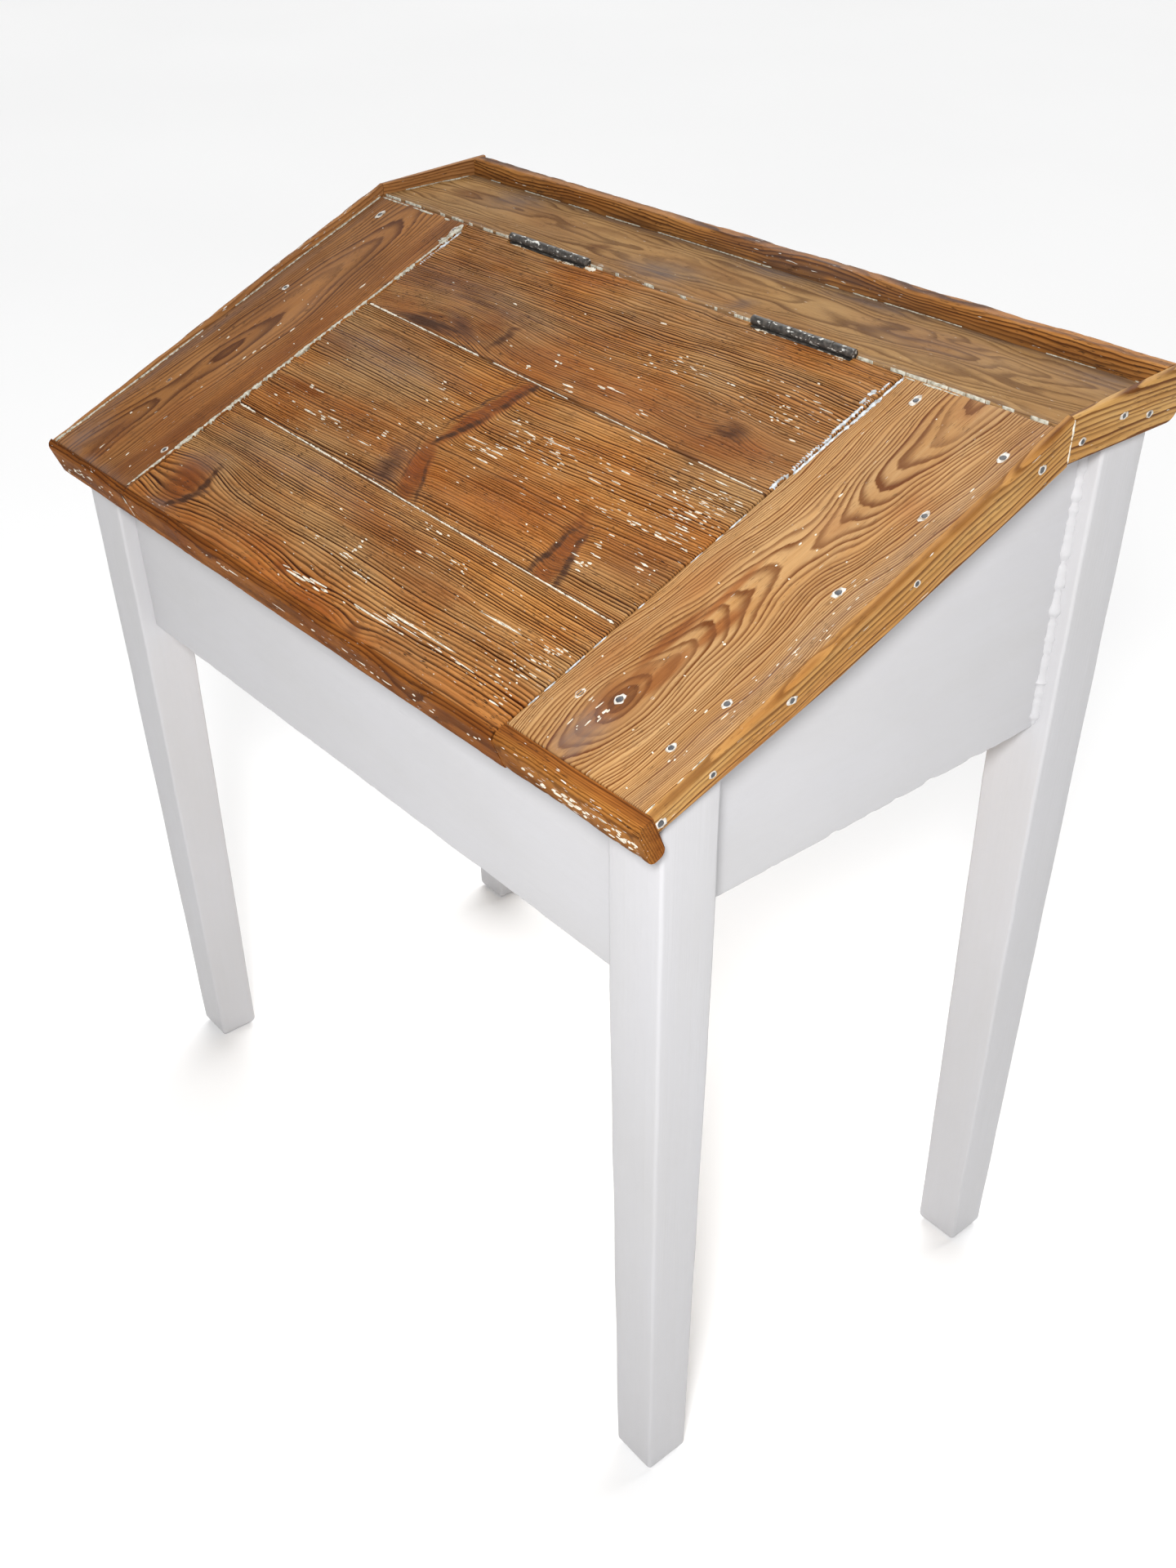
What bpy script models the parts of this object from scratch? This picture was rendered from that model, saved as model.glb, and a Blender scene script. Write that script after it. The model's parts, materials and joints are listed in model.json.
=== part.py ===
"""Slope-top school desk with a hinged plank lid, modelled piece by piece.

Metres, +Z up. The desk stands on z = 0 with its front towards -Y, and the origin lies under
the middle of its outline.
"""
import math

import bmesh
import bpy
from mathutils import Matrix, Vector

# Clearances
GAP = 0.0003
SEAM = 0.0008
HOLE_RUN_IN = 0.0012
HOLE_EXTRA = 0.0018

# How finely round shapes and edges are drawn
SHARP_DEGREES = 40
CORNER_STEPS = 4
FOOT_STEPS = 3
BARREL_SIDES = 18
BORE_SIDES = 12
PIN_SIDES = 8

# Legs
LEG_SPAN_X = 0.750
LEG_SPAN_Y = 0.425
LEG_X = 0.050
LEG_Y = 0.047
FOOT_X = 0.041
FOOT_Y = 0.040
FOOT_ROUND = 0.008
LEG_EDGE = 0.0016

# Aprons and panels between the legs, reaching down from the shelf's top
APRON_REACH = 0.304
PANEL_REACH = 0.241
PANEL_THICK = 0.018
RECESS = 0.014
TENON_LENGTH = 0.018
TENON_THICK = 0.008
TENON_SHOULDER = 0.022

# Top boards: a level shelf at the back and a slope in front of it
SLOPE_DEGREES = 21.3
SHELF_TOP = 0.808
BEND_FROM_FRONT = 0.330
BOARD_THICK = 0.021
SLOPE_OVERHANG = 0.014
REAR_OVERHANG = 0.021
BOARD_EDGE = 0.0012

# Rear rail, side strips and front nosing
RAIL_THICK = 0.014
RAIL_PROUD = 0.014
RAIL_DROP = 0.026
STRIP_THICK = 0.0070
STRIP_DROP = 0.0225
STRIP_PROUD_BEND = 0.008
STRIP_FRONT_DROP = 0.0145
STRIP_TRIM = 0.150
STRIP_TAIL_ROUND = 0.011
STRIP_EDGE = 0.0022
NOSING_THICK = 0.014
THIN_NOSING_THICK = 0.0062
NOSING_HEIGHT = 0.031
NOSING_ROUND = 0.0055
NOSING_UNDER_SHARE = 0.45

# Lid: its two plank joints are a little askew, so each has a run at its left and right end
LID_WIDTH = 0.490
LID_THICK = 0.021
FIRST_JOINT = (0.117, 0.135)
SECOND_JOINT = (0.260, 0.272)
BATTEN_WIDTH = 0.045
BATTEN_THICK = 0.018
BATTEN_INSET = 0.085
BATTEN_END_MARGIN = 0.034

# Butt hinges between lid and shelf
HINGE_LENGTH = 0.100
HINGE_INSET_LEFT = 0.059
HINGE_INSET_RIGHT = 0.045
HINGE_RISE = 0.0010
KNUCKLES = 5
KNUCKLE_RADIUS = 0.0043
PIN_RADIUS = 0.0017
PIN_FIT = 0.0003
LEAF_THICK = 0.0018
LEAF_DEPTH = 0.0172
KNUCKLE_GAP = 0.0004
BARREL_GAP = 0.0006
SCREWS_PER_LEAF = 3
SCREW_HEAD_RADIUS = 0.0032
SCREW_HEIGHT = 0.0062
SCREW_SHANK_RADIUS = 0.0014
SCREW_LENGTH = 0.014

# Floor of the compartment
FLOOR_THICK = 0.014
FLOOR_PLANKS = 3
CLEAT_WIDTH = 0.022
CLEAT_HEIGHT = 0.020

# Nails through the side boards into the panels and the apron
NAIL_RADIUS = 0.0021
NAIL_LENGTH = 0.038
EDGE_NAIL_RUNS = (0.039, 0.103, 0.180, 0.283)
APRON_NAIL_INSET = 0.025

# Values that follow from the sizes above
APRON_BOTTOM = SHELF_TOP - APRON_REACH
PANEL_BOTTOM = SHELF_TOP - PANEL_REACH
SLOPE = math.radians(SLOPE_DEGREES)
HALF_SPAN = LEG_SPAN_X / 2
RAIL_BACK_FROM_FRONT = LEG_SPAN_Y + REAR_OVERHANG
SLOPE_RUN = (BEND_FROM_FRONT + SLOPE_OVERHANG) / math.cos(SLOPE)
NOSING_FRONT_RUN = SLOPE_RUN + GAP + NOSING_THICK
LONG_RUN = NOSING_FRONT_RUN - THIN_NOSING_THICK - GAP
BOARD_RUNS = {"left": LONG_RUN, "right": SLOPE_RUN}
NOSING_TIP_RUN = (NOSING_FRONT_RUN - NOSING_ROUND) * math.cos(SLOPE)
NOSING_TIP = NOSING_TIP_RUN + NOSING_ROUND * (1 - math.sin(SLOPE))
NOSING_REACH = NOSING_TIP - BEND_FROM_FRONT
FRONT_FACE_Y = -(RAIL_BACK_FROM_FRONT - NOSING_REACH) / 2
BACK_FACE_Y = FRONT_FACE_Y + LEG_SPAN_Y
REAR_Y = FRONT_FACE_Y + RAIL_BACK_FROM_FRONT
RAIL_FRONT_Y = REAR_Y - RAIL_THICK
BEND_Y = FRONT_FACE_Y + BEND_FROM_FRONT
AXIS_Z = SHELF_TOP + HINGE_RISE
FLOOR_TOP = PANEL_BOTTOM + CLEAT_HEIGHT + GAP + FLOOR_THICK
PANEL_FACE_X = HALF_SPAN - RECESS
PANEL_MID_X = PANEL_FACE_X - PANEL_THICK / 2
PANEL_INNER_X = PANEL_FACE_X - PANEL_THICK
APRON_MID_Y = FRONT_FACE_Y + RECESS + PANEL_THICK / 2
BACK_MID_Y = BACK_FACE_Y - RECESS - PANEL_THICK / 2
LEFT_HINGE_X = -LID_WIDTH / 2 + HINGE_INSET_LEFT + HINGE_LENGTH / 2
RIGHT_HINGE_X = LID_WIDTH / 2 - HINGE_INSET_RIGHT - HINGE_LENGTH / 2
HINGE_CENTRES = (("left", LEFT_HINGE_X), ("right", RIGHT_HINGE_X))
BATTEN_X = LID_WIDTH / 2 - BATTEN_INSET

# Colours and finishes: base colour, roughness, metallic
PAINT = ("painted_wood", (0.70, 0.70, 0.72, 1), 0.55, 0.0)
RAW_PINE = ("raw_pine", (0.52, 0.36, 0.20, 1), 0.75, 0.0)
BOARD_PINE = ("honey_pine", (0.48, 0.25, 0.09, 1), 0.5, 0.0)
LID_PINE = ("brushed_pine", (0.38, 0.17, 0.06, 1), 0.5, 0.0)
DARK_PINE = ("dark_pine", (0.24, 0.12, 0.05, 1), 0.6, 0.0)
STRIP_PINE = ("orange_pine", (0.48, 0.24, 0.06, 1), 0.5, 0.0)
IRON = ("black_iron", (0.03, 0.03, 0.03, 1), 0.5, 0.9)
NAIL_IRON = ("nail_iron", (0.12, 0.12, 0.12, 1), 0.5, 0.9)


def clear_scene():
    """Empty the scene."""
    for item in list(bpy.data.objects):
        bpy.data.objects.remove(item, do_unlink=True)


def make_collection(name):
    """Make a collection under the scene's own."""
    group = bpy.data.collections.new(name)
    bpy.context.scene.collection.children.link(group)
    return group


clear_scene()
DESK = make_collection("school_desk")
CUTTERS = make_collection("cutters")


def material(finish):
    """Return the Principled material of a finish, making it the first time."""
    name, colour, roughness, metallic = finish
    found = bpy.data.materials.get(name)
    if found:
        return found
    made = bpy.data.materials.new(name)
    made.use_nodes = True
    shader = made.node_tree.nodes["Principled BSDF"]
    shader.inputs["Base Color"].default_value = colour
    shader.inputs["Roughness"].default_value = roughness
    shader.inputs["Metallic"].default_value = metallic
    return made


def add_object(name, mesh, finish=None):
    """Link a mesh as a piece of the desk, or as a cutter when it has no finish."""
    item = bpy.data.objects.new(name, mesh)
    if finish is None:
        CUTTERS.objects.link(item)
        item.hide_render = True
        item.display_type = "WIRE"
    else:
        DESK.objects.link(item)
        mesh.materials.append(material(finish))
    return item


def mesh_from(bm, name):
    """Turn a bmesh into a mesh."""
    mesh = bpy.data.meshes.new(name)
    bm.normal_update()
    bm.to_mesh(mesh)
    bm.free()
    return mesh


def box_mesh(name, low, high):
    """Make a box between two corners."""
    low = Vector(low)
    high = Vector(high)
    bm = bmesh.new()
    bmesh.ops.create_cube(bm, size=1.0)
    bmesh.ops.scale(bm, vec=high - low, verts=bm.verts)
    bmesh.ops.translate(bm, vec=(low + high) / 2, verts=bm.verts)
    return mesh_from(bm, name)


def box(name, low, high, finish=None):
    """Add a box between two corners."""
    return add_object(name, box_mesh(name, low, high), finish)


def prism(name, outline, x_low, x_high, finish=None):
    """Extrude an outline of (y, z) points along X and return it as a mesh object."""
    curve = bpy.data.curves.new(name + "_outline", "CURVE")
    curve.dimensions = "2D"
    curve.fill_mode = "BOTH"
    curve.extrude = (x_high - x_low) / 2
    spline = curve.splines.new("POLY")
    spline.points.add(len(outline) - 1)
    for point, (y, z) in zip(spline.points, outline):
        point.co = (y, z, 0, 1)
    spline.use_cyclic_u = True
    drawn = bpy.data.objects.new(name + "_outline", curve)
    bpy.context.scene.collection.objects.link(drawn)
    turn = Matrix(((0, 0, 1), (1, 0, 0), (0, 1, 0))).to_4x4()
    drawn.matrix_world = Matrix.Translation(((x_low + x_high) / 2, 0, 0)) @ turn
    bpy.context.view_layer.update()
    seen = drawn.evaluated_get(bpy.context.evaluated_depsgraph_get())
    bm = bmesh.new()
    bm.from_mesh(bpy.data.meshes.new_from_object(seen))
    bmesh.ops.remove_doubles(bm, verts=bm.verts, dist=0.00001)
    bmesh.ops.transform(bm, matrix=drawn.matrix_world, verts=bm.verts)
    bmesh.ops.recalc_face_normals(bm, faces=bm.faces)
    bpy.data.objects.remove(drawn, do_unlink=True)
    return add_object(name, mesh_from(bm, name), finish)


def rounded(outline, radii):
    """Round the corners of an outline, each by its own radius, 0 for a sharp one."""
    points = []
    count = len(outline)
    for index, radius in enumerate(radii):
        corner = Vector(outline[index])
        if radius == 0:
            points.append(tuple(corner))
            continue
        before = (Vector(outline[index - 1]) - corner).normalized()
        after = (Vector(outline[(index + 1) % count]) - corner).normalized()
        half = before.angle(after) / 2
        reach = radius / math.tan(half)
        centre = corner + (before + after).normalized() * (radius / math.sin(half))
        start = corner + before * reach - centre
        end = corner + after * reach - centre
        for step in range(CORNER_STEPS + 1):
            share = step / CORNER_STEPS
            arm = (start * (1 - share) + end * share).normalized() * radius
            points.append(tuple(centre + arm))
    return points


def bevel(item, width):
    """Take the sharp edges off a piece."""
    change = item.modifiers.new("edge", "BEVEL")
    change.width = width
    change.segments = 1
    change.limit_method = "ANGLE"
    change.angle_limit = math.radians(SHARP_DEGREES)
    return item


def cut(item, cutter):
    """Cut one piece by a cutter."""
    change = item.modifiers.new("cut_" + cutter.name, "BOOLEAN")
    change.operation = "DIFFERENCE"
    change.object = cutter
    return item


def join(item, extra):
    """Fuse a hidden shape into a piece."""
    change = item.modifiers.new("join_" + extra.name, "BOOLEAN")
    change.operation = "UNION"
    change.object = extra
    return item


def slope_point(run, rise=0.0):
    """Return (y, z) at a distance down the slope from the bend, and square above its face."""
    y = BEND_Y - run * math.cos(SLOPE) - rise * math.sin(SLOPE)
    z = SHELF_TOP - run * math.sin(SLOPE) + rise * math.cos(SLOPE)
    return (y, z)


def slope_at(y, rise=0.0):
    """Return (y, z) straight above or below y, on a plane parallel to the slope's face."""
    z = SHELF_TOP + (y - BEND_Y) * math.tan(SLOPE) + rise / math.cos(SLOPE)
    return (y, z)


def under_slope(y):
    """Return (y, z) just under the sloping boards."""
    return slope_at(y, -BOARD_THICK - GAP)


UNDER_SHELF = SHELF_TOP - BOARD_THICK - GAP


def under_top_at(y):
    """Return the height just under the boards at y, on the slope or under the shelf."""
    if y > BEND_Y:
        return UNDER_SHELF
    return under_slope(y)[1]


def leg(name, side, front, tenon_cutters):
    """Make one leg: square at the top, tapered on its two inner faces, with rounded foot edges."""
    outer_x = side * HALF_SPAN
    outer_y = FRONT_FACE_Y if front else BACK_FACE_Y
    inward_y = 1 if front else -1
    bm = bmesh.new()
    bmesh.ops.create_cube(bm, size=1.0)
    bmesh.ops.translate(bm, vec=(-0.5 * side, 0.5 * inward_y, 0.5), verts=bm.verts)
    bmesh.ops.scale(bm, vec=(LEG_X, LEG_Y, SHELF_TOP), verts=bm.verts)
    knee = Vector((0, 0, APRON_BOTTOM))
    everything = bm.verts[:] + bm.edges[:] + bm.faces[:]
    bmesh.ops.bisect_plane(bm, geom=everything, plane_co=knee, plane_no=(0, 0, 1))
    weights = bm.edges.layers.float.new("bevel_weight_edge")
    for edge in bm.edges:
        ends = [vert.co.z for vert in edge.verts]
        if max(ends) < GAP:
            edge[weights] = 1.0
        elif abs(ends[0] - ends[1]) > GAP:
            edge[weights] = LEG_EDGE / FOOT_ROUND
    for vert in bm.verts:
        if vert.co.z < GAP:
            vert.co.x *= FOOT_X / LEG_X
            vert.co.y *= FOOT_Y / LEG_Y
        vert.co.x += outer_x
        vert.co.y += outer_y
        if vert.co.z > APRON_BOTTOM + GAP:
            vert.co.z = under_top_at(vert.co.y)
    item = add_object(name, mesh_from(bm, name), PAINT)
    round_edges = item.modifiers.new("round", "BEVEL")
    round_edges.limit_method = "WEIGHT"
    round_edges.width = FOOT_ROUND
    round_edges.segments = FOOT_STEPS
    for cutter in tenon_cutters:
        cut(item, cutter)
    return item


def grown(low, high, by):
    """Return the corners of a box grown on every side."""
    reach = Vector((by, by, by))
    return Vector(low) - reach, Vector(high) + reach


def cross_panel(name, mid_y, bottom, finish):
    """Make a board between two legs along X, with a tenon at each end, and its mortise cutter."""
    half = HALF_SPAN - LEG_X - GAP
    near = mid_y - PANEL_THICK / 2
    far = mid_y + PANEL_THICK / 2
    tops = (under_top_at(near), under_top_at(far))
    outline = [(near, bottom), (far, bottom), (far, tops[1]), (near, tops[0])]
    item = prism(name, outline, -half, half, finish)
    low = (-half - TENON_LENGTH, mid_y - TENON_THICK / 2, bottom + TENON_SHOULDER)
    high = (half + TENON_LENGTH, mid_y + TENON_THICK / 2, min(tops) - TENON_SHOULDER)
    join(item, box(name + "_tenon", low, high))
    mortise = box(name + "_mortise", *grown(low, high, GAP))
    return item, mortise


def side_panel(name, side):
    """Make a side panel with its sloping top and its two tenons, and its mortise cutter."""
    front = FRONT_FACE_Y + LEG_Y + GAP
    back = BACK_FACE_Y - LEG_Y - GAP
    outline = [
        (front, PANEL_BOTTOM),
        (back, PANEL_BOTTOM),
        (back, UNDER_SHELF),
        (BEND_Y + SEAM, UNDER_SHELF),
        under_slope(BEND_Y),
        under_slope(front),
    ]
    edges = sorted((side * PANEL_FACE_X, side * PANEL_INNER_X))
    item = prism(name, outline, edges[0], edges[1], PAINT)
    mid = side * PANEL_MID_X
    top = under_slope(front)[1] - TENON_SHOULDER
    low = (mid - TENON_THICK / 2, front - TENON_LENGTH, PANEL_BOTTOM + TENON_SHOULDER)
    high = (mid + TENON_THICK / 2, back + TENON_LENGTH, top)
    join(item, box(name + "_tenon", low, high))
    mortise = box(name + "_mortise", *grown(low, high, GAP))
    return item, mortise


def build_base():
    """Make the legs, aprons and panels, and return them by name."""
    pieces = {}
    apron, apron_mortise = cross_panel("front_apron", APRON_MID_Y, APRON_BOTTOM, PAINT)
    back, back_mortise = cross_panel("back_panel", BACK_MID_Y, PANEL_BOTTOM, PAINT)
    pieces["front_apron"] = apron
    pieces["back_panel"] = back
    for word, side in (("left", -1), ("right", 1)):
        panel, panel_mortise = side_panel("side_panel_" + word, side)
        pieces["side_panel_" + word] = panel
        front_name = "leg_front_" + word
        rear_name = "leg_rear_" + word
        pieces[front_name] = leg(front_name, side, True, (apron_mortise, panel_mortise))
        pieces[rear_name] = leg(rear_name, side, False, (back_mortise, panel_mortise))
    return pieces


def pin_mesh(name, head, direction, radii, length):
    """Make a straight pin from its head along a direction, with a radius at each end."""
    along = Vector(direction).normalized()
    turn = Vector((0, 0, 1)).rotation_difference(along).to_matrix().to_4x4()
    middle = Vector(head) + along * (length / 2)
    bm = bmesh.new()
    bmesh.ops.create_cone(
        bm, cap_ends=True, segments=PIN_SIDES, radius1=radii[0], radius2=radii[1],
        depth=length, matrix=Matrix.Translation(middle) @ turn)
    return mesh_from(bm, name)


def drive(name, head, direction, radii, length, pieces, finish):
    """Drive a nail or screw into the pieces that it holds, drilling each one."""
    along = Vector(direction).normalized()
    start = Vector(head) - along * HOLE_RUN_IN
    wide = tuple(radius + GAP for radius in radii)
    hole_mesh = pin_mesh(name + "_hole", start, direction, wide, length + HOLE_EXTRA)
    hole = add_object(name + "_hole", hole_mesh)
    for piece in pieces:
        cut(piece, hole)
    return add_object(name, pin_mesh(name, head, direction, radii, length), finish)


def build_floor():
    """Make the floor planks on their cleats inside the base."""
    front = FRONT_FACE_Y + RECESS + PANEL_THICK + GAP
    back = BACK_FACE_Y - RECESS - PANEL_THICK - GAP
    half = PANEL_INNER_X - GAP
    cleat_front = FRONT_FACE_Y + LEG_Y + GAP
    cleat_back = BACK_FACE_Y - LEG_Y - GAP
    notches = []
    for side in (-1, 1):
        for outer_y, inward in ((FRONT_FACE_Y, 1), (BACK_FACE_Y, -1)):
            low = (side * HALF_SPAN, outer_y, PANEL_BOTTOM)
            high = (side * (HALF_SPAN - LEG_X), outer_y + inward * LEG_Y, SHELF_TOP)
            corners = [sorted(pair) for pair in zip(low, high)]
            ends = grown([pair[0] for pair in corners], [pair[1] for pair in corners], GAP)
            notches.append((inward, box("floor_notch", *ends)))
    width = (back - front - GAP * (FLOOR_PLANKS - 1)) / FLOOR_PLANKS
    for index in range(FLOOR_PLANKS):
        near = front + index * (width + GAP)
        low = (-half, near, FLOOR_TOP - FLOOR_THICK)
        high = (half, near + width, FLOOR_TOP)
        plank = box("floor_plank_%d" % (index + 1), low, high, RAW_PINE)
        for inward, notch in notches:
            if (index == 0 and inward > 0) or (index == FLOOR_PLANKS - 1 and inward < 0):
                cut(plank, notch)
    for word, side in (("left", -1), ("right", 1)):
        ends = sorted((side * half, side * (half - CLEAT_WIDTH)))
        low = (ends[0], cleat_front, PANEL_BOTTOM)
        high = (ends[1], cleat_back, PANEL_BOTTOM + CLEAT_HEIGHT)
        box("floor_cleat_" + word, low, high, RAW_PINE)


def lid_plank(name, low_runs, high_runs, half, finish):
    """Make a plank of the lid from the runs of its two edges, each given at its left and right end."""
    bm = bmesh.new()
    ends = []
    for x, low_run, high_run in zip((-half, half), low_runs, high_runs):
        outline = [slope_point(high_run), slope_point(high_run, -LID_THICK)]
        if low_run == 0:
            outline += [slope_at(BEND_Y - SEAM, -LID_THICK), slope_at(BEND_Y - SEAM)]
        else:
            outline += [slope_point(low_run, -LID_THICK), slope_point(low_run)]
        ends.append([bm.verts.new((x, y, z)) for y, z in outline])
    left, right = ends
    bm.faces.new(left)
    bm.faces.new(right)
    for index, corner in enumerate(left):
        bm.faces.new((left[index - 1], corner, right[index], right[index - 1]))
    bmesh.ops.recalc_face_normals(bm, faces=bm.faces)
    return add_object(name, mesh_from(bm, name), finish)


def board_to_bend(name, high_run, thick, x_low, x_high, finish):
    """Make a sloping board whose upper end is cut plumb at the bend."""
    outline = [
        slope_point(high_run),
        slope_point(high_run, -thick),
        slope_at(BEND_Y - SEAM, -thick),
        slope_at(BEND_Y - SEAM),
    ]
    return prism(name, outline, x_low, x_high, finish)


def side_strips(word, side, run):
    """Make the two facing strips of one side: one down the slope to a run, one along the shelf."""
    ends = sorted((side * (HALF_SPAN + GAP), side * (HALF_SPAN + GAP + STRIP_THICK)))
    bend = BEND_Y - GAP
    slope_outline = [
        slope_point(run),
        slope_point(run, -STRIP_FRONT_DROP),
        slope_point(run - STRIP_TRIM, -STRIP_DROP),
        slope_at(bend, -STRIP_DROP),
        slope_at(bend, STRIP_PROUD_BEND),
    ]
    sloping = prism("slope_strip_" + word, slope_outline, ends[0], ends[1], STRIP_PINE)
    start = BEND_Y + GAP
    shelf_outline = rounded(
        [
            (start, SHELF_TOP - STRIP_DROP),
            (REAR_Y, SHELF_TOP - STRIP_DROP),
            (REAR_Y, SHELF_TOP + RAIL_PROUD),
            (start, SHELF_TOP + STRIP_PROUD_BEND),
        ],
        (0, STRIP_TAIL_ROUND, 0, 0))
    level = prism("shelf_strip_" + word, shelf_outline, ends[0], ends[1], STRIP_PINE)
    for strip in (sloping, level):
        bevel(strip, STRIP_EDGE)


def nosing_outline(run):
    """Return the nosing's section on boards of a run: a strip on their front ends with rounded edges."""
    back = run + GAP
    under = min(NOSING_ROUND, (NOSING_FRONT_RUN - back) * NOSING_UNDER_SHARE)
    corners = [
        slope_point(back),
        slope_point(back, -NOSING_HEIGHT),
        slope_point(NOSING_FRONT_RUN, -NOSING_HEIGHT),
        slope_point(NOSING_FRONT_RUN),
    ]
    return rounded(corners, (0, under, under, NOSING_ROUND))


def build_top(base):
    """Make the side boards, shelf, rail, strips and fixed nosing, and nail them down."""
    inner = LID_WIDTH / 2 + SEAM
    down = tuple(-part for part in (0, -math.sin(SLOPE), math.cos(SLOPE)))
    shelf_outline = [
        (BEND_Y + SEAM, SHELF_TOP - BOARD_THICK),
        (RAIL_FRONT_Y - GAP, SHELF_TOP - BOARD_THICK),
        (RAIL_FRONT_Y - GAP, SHELF_TOP),
        (BEND_Y + SEAM, SHELF_TOP),
    ]
    shelf = prism("back_shelf", shelf_outline, -HALF_SPAN, HALF_SPAN, BOARD_PINE)
    rail_low = (-HALF_SPAN, RAIL_FRONT_Y, SHELF_TOP - RAIL_DROP)
    rail = box("rear_rail", rail_low, (HALF_SPAN, REAR_Y, SHELF_TOP + RAIL_PROUD), DARK_PINE)
    bevel(rail, BOARD_EDGE)
    apron_run = (BEND_Y - APRON_MID_Y) / math.cos(SLOPE)
    for word, side in (("left", -1), ("right", 1)):
        ends = sorted((side * inner, side * HALF_SPAN))
        run = BOARD_RUNS[word]
        board = board_to_bend("side_board_" + word, run, BOARD_THICK, ends[0], ends[1], BOARD_PINE)
        panel = base["side_panel_" + word]
        nails = [(side * PANEL_MID_X, place, panel) for place in EDGE_NAIL_RUNS]
        nails.append((side * (inner + APRON_NAIL_INSET), apron_run, base["front_apron"]))
        for number, (x, place, under) in enumerate(nails, 1):
            name = "side_board_nail_%s_%d" % (word, number)
            head = (x, *slope_point(place))
            drive(name, head, down, (NAIL_RADIUS, NAIL_RADIUS), NAIL_LENGTH, (board, under), NAIL_IRON)
        side_strips(word, side, run)
        outer = side * (HALF_SPAN + GAP + STRIP_THICK)
        nose_ends = sorted((side * inner, outer))
        prism("nosing_" + word, nosing_outline(run), nose_ends[0], nose_ends[1], STRIP_PINE)
    return shelf


def lid_piece(item, pivot):
    """Hang a piece of the lid on the hinge line, keeping it where it is."""
    item.data.transform(Matrix.Translation(-pivot.matrix_world.translation))
    item.parent = pivot
    return item


def build_lid(pivot):
    """Make the lid's planks, battens and nosing, and return the planks from the rear."""
    half = LID_WIDTH / 2 - SEAM
    after_first = tuple(run + GAP for run in FIRST_JOINT)
    after_second = tuple(run + GAP for run in SECOND_JOINT)
    front_edge = (LONG_RUN, LONG_RUN)
    planks = [
        lid_plank("lid_plank_rear", (0, 0), FIRST_JOINT, half, LID_PINE),
        lid_plank("lid_plank_middle", after_first, SECOND_JOINT, half, LID_PINE),
        lid_plank("lid_plank_front", after_second, front_edge, half, LID_PINE),
    ]
    nose = prism("lid_nosing", nosing_outline(LONG_RUN), -half, half, STRIP_PINE)
    apron_back = (BEND_Y - APRON_MID_Y - PANEL_THICK / 2) / math.cos(SLOPE)
    top_rise = -LID_THICK - GAP
    batten_outline = [
        slope_point(apron_back - BATTEN_END_MARGIN, top_rise),
        slope_point(apron_back - BATTEN_END_MARGIN, top_rise - BATTEN_THICK),
        slope_point(BATTEN_END_MARGIN, top_rise - BATTEN_THICK),
        slope_point(BATTEN_END_MARGIN, top_rise),
    ]
    battens = []
    for word, side in (("left", -1), ("right", 1)):
        x = side * BATTEN_X
        batten = prism(
            "lid_batten_" + word, batten_outline, x - BATTEN_WIDTH / 2, x + BATTEN_WIDTH / 2,
            RAW_PINE)
        battens.append(bevel(batten, BOARD_EDGE))
    for item in planks + battens + [nose]:
        lid_piece(item, pivot)
    return planks


def cylinder_x(bm, x_low, x_high, radius, sides):
    """Add a cylinder along the hinge line to a bmesh."""
    turn = Matrix.Rotation(math.pi / 2, 4, "Y")
    place = Matrix.Translation(((x_low + x_high) / 2, BEND_Y, AXIS_Z))
    bmesh.ops.create_cone(
        bm, cap_ends=True, segments=sides, radius1=radius, radius2=radius,
        depth=x_high - x_low, matrix=place @ turn)


def barrel(name, x_low, x_high, radius, sides, finish=None):
    """Add one cylinder along the hinge line."""
    bm = bmesh.new()
    cylinder_x(bm, x_low, x_high, radius, sides)
    item = add_object(name, mesh_from(bm, name), finish)
    if finish is not None:
        item.data.shade_smooth()
        item.data.set_sharp_from_angle(angle=math.radians(SHARP_DEGREES))
    return item


def leaf(name, centre, behind, own):
    """Make a hinge leaf with its knuckles: behind is 1 on the shelf and -1 on the lid."""
    near = BEND_Y + behind * GAP
    far = near + behind * LEAF_THICK
    y_low, y_high = sorted((near, far))
    low_z = SHELF_TOP - LEAF_DEPTH
    plate_top = AXIS_Z - KNUCKLE_RADIUS - BARREL_GAP
    half = HINGE_LENGTH / 2
    item = box(name, (centre - half, y_low, low_z), (centre + half, y_high, plate_top), IRON)
    pitch = HINGE_LENGTH / KNUCKLES
    for index in own:
        start = centre - half + index * pitch + KNUCKLE_GAP / 2
        end = start + pitch - KNUCKLE_GAP
        knuckle = barrel("%s_knuckle_%d" % (name, index), start, end, KNUCKLE_RADIUS, BARREL_SIDES)
        tab = box(
            "%s_tab_%d" % (name, index), (start, y_low, plate_top - GAP), (end, y_high, AXIS_Z))
        join(item, tab)
        join(item, knuckle)
    bore = barrel(
        name + "_bore", centre - half - GAP, centre + half + GAP, PIN_RADIUS + PIN_FIT, BORE_SIDES)
    return cut(item, bore)


def leaf_screws(name, centre, behind, plate, wood):
    """Drive the screws of one leaf through its plate into the wood behind it."""
    z = SHELF_TOP - LEAF_DEPTH + SCREW_HEIGHT
    pitch = HINGE_LENGTH / SCREWS_PER_LEAF
    radii = (SCREW_HEAD_RADIUS, SCREW_SHANK_RADIUS)
    made = []
    for index in range(SCREWS_PER_LEAF):
        x = centre + (index - (SCREWS_PER_LEAF - 1) / 2) * pitch
        head = (x, BEND_Y + behind * GAP, z)
        label = "%s_%d" % (name, index + 1)
        made.append(drive(label, head, (0, behind, 0), radii, SCREW_LENGTH, (plate, wood), IRON))
    return made


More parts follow.
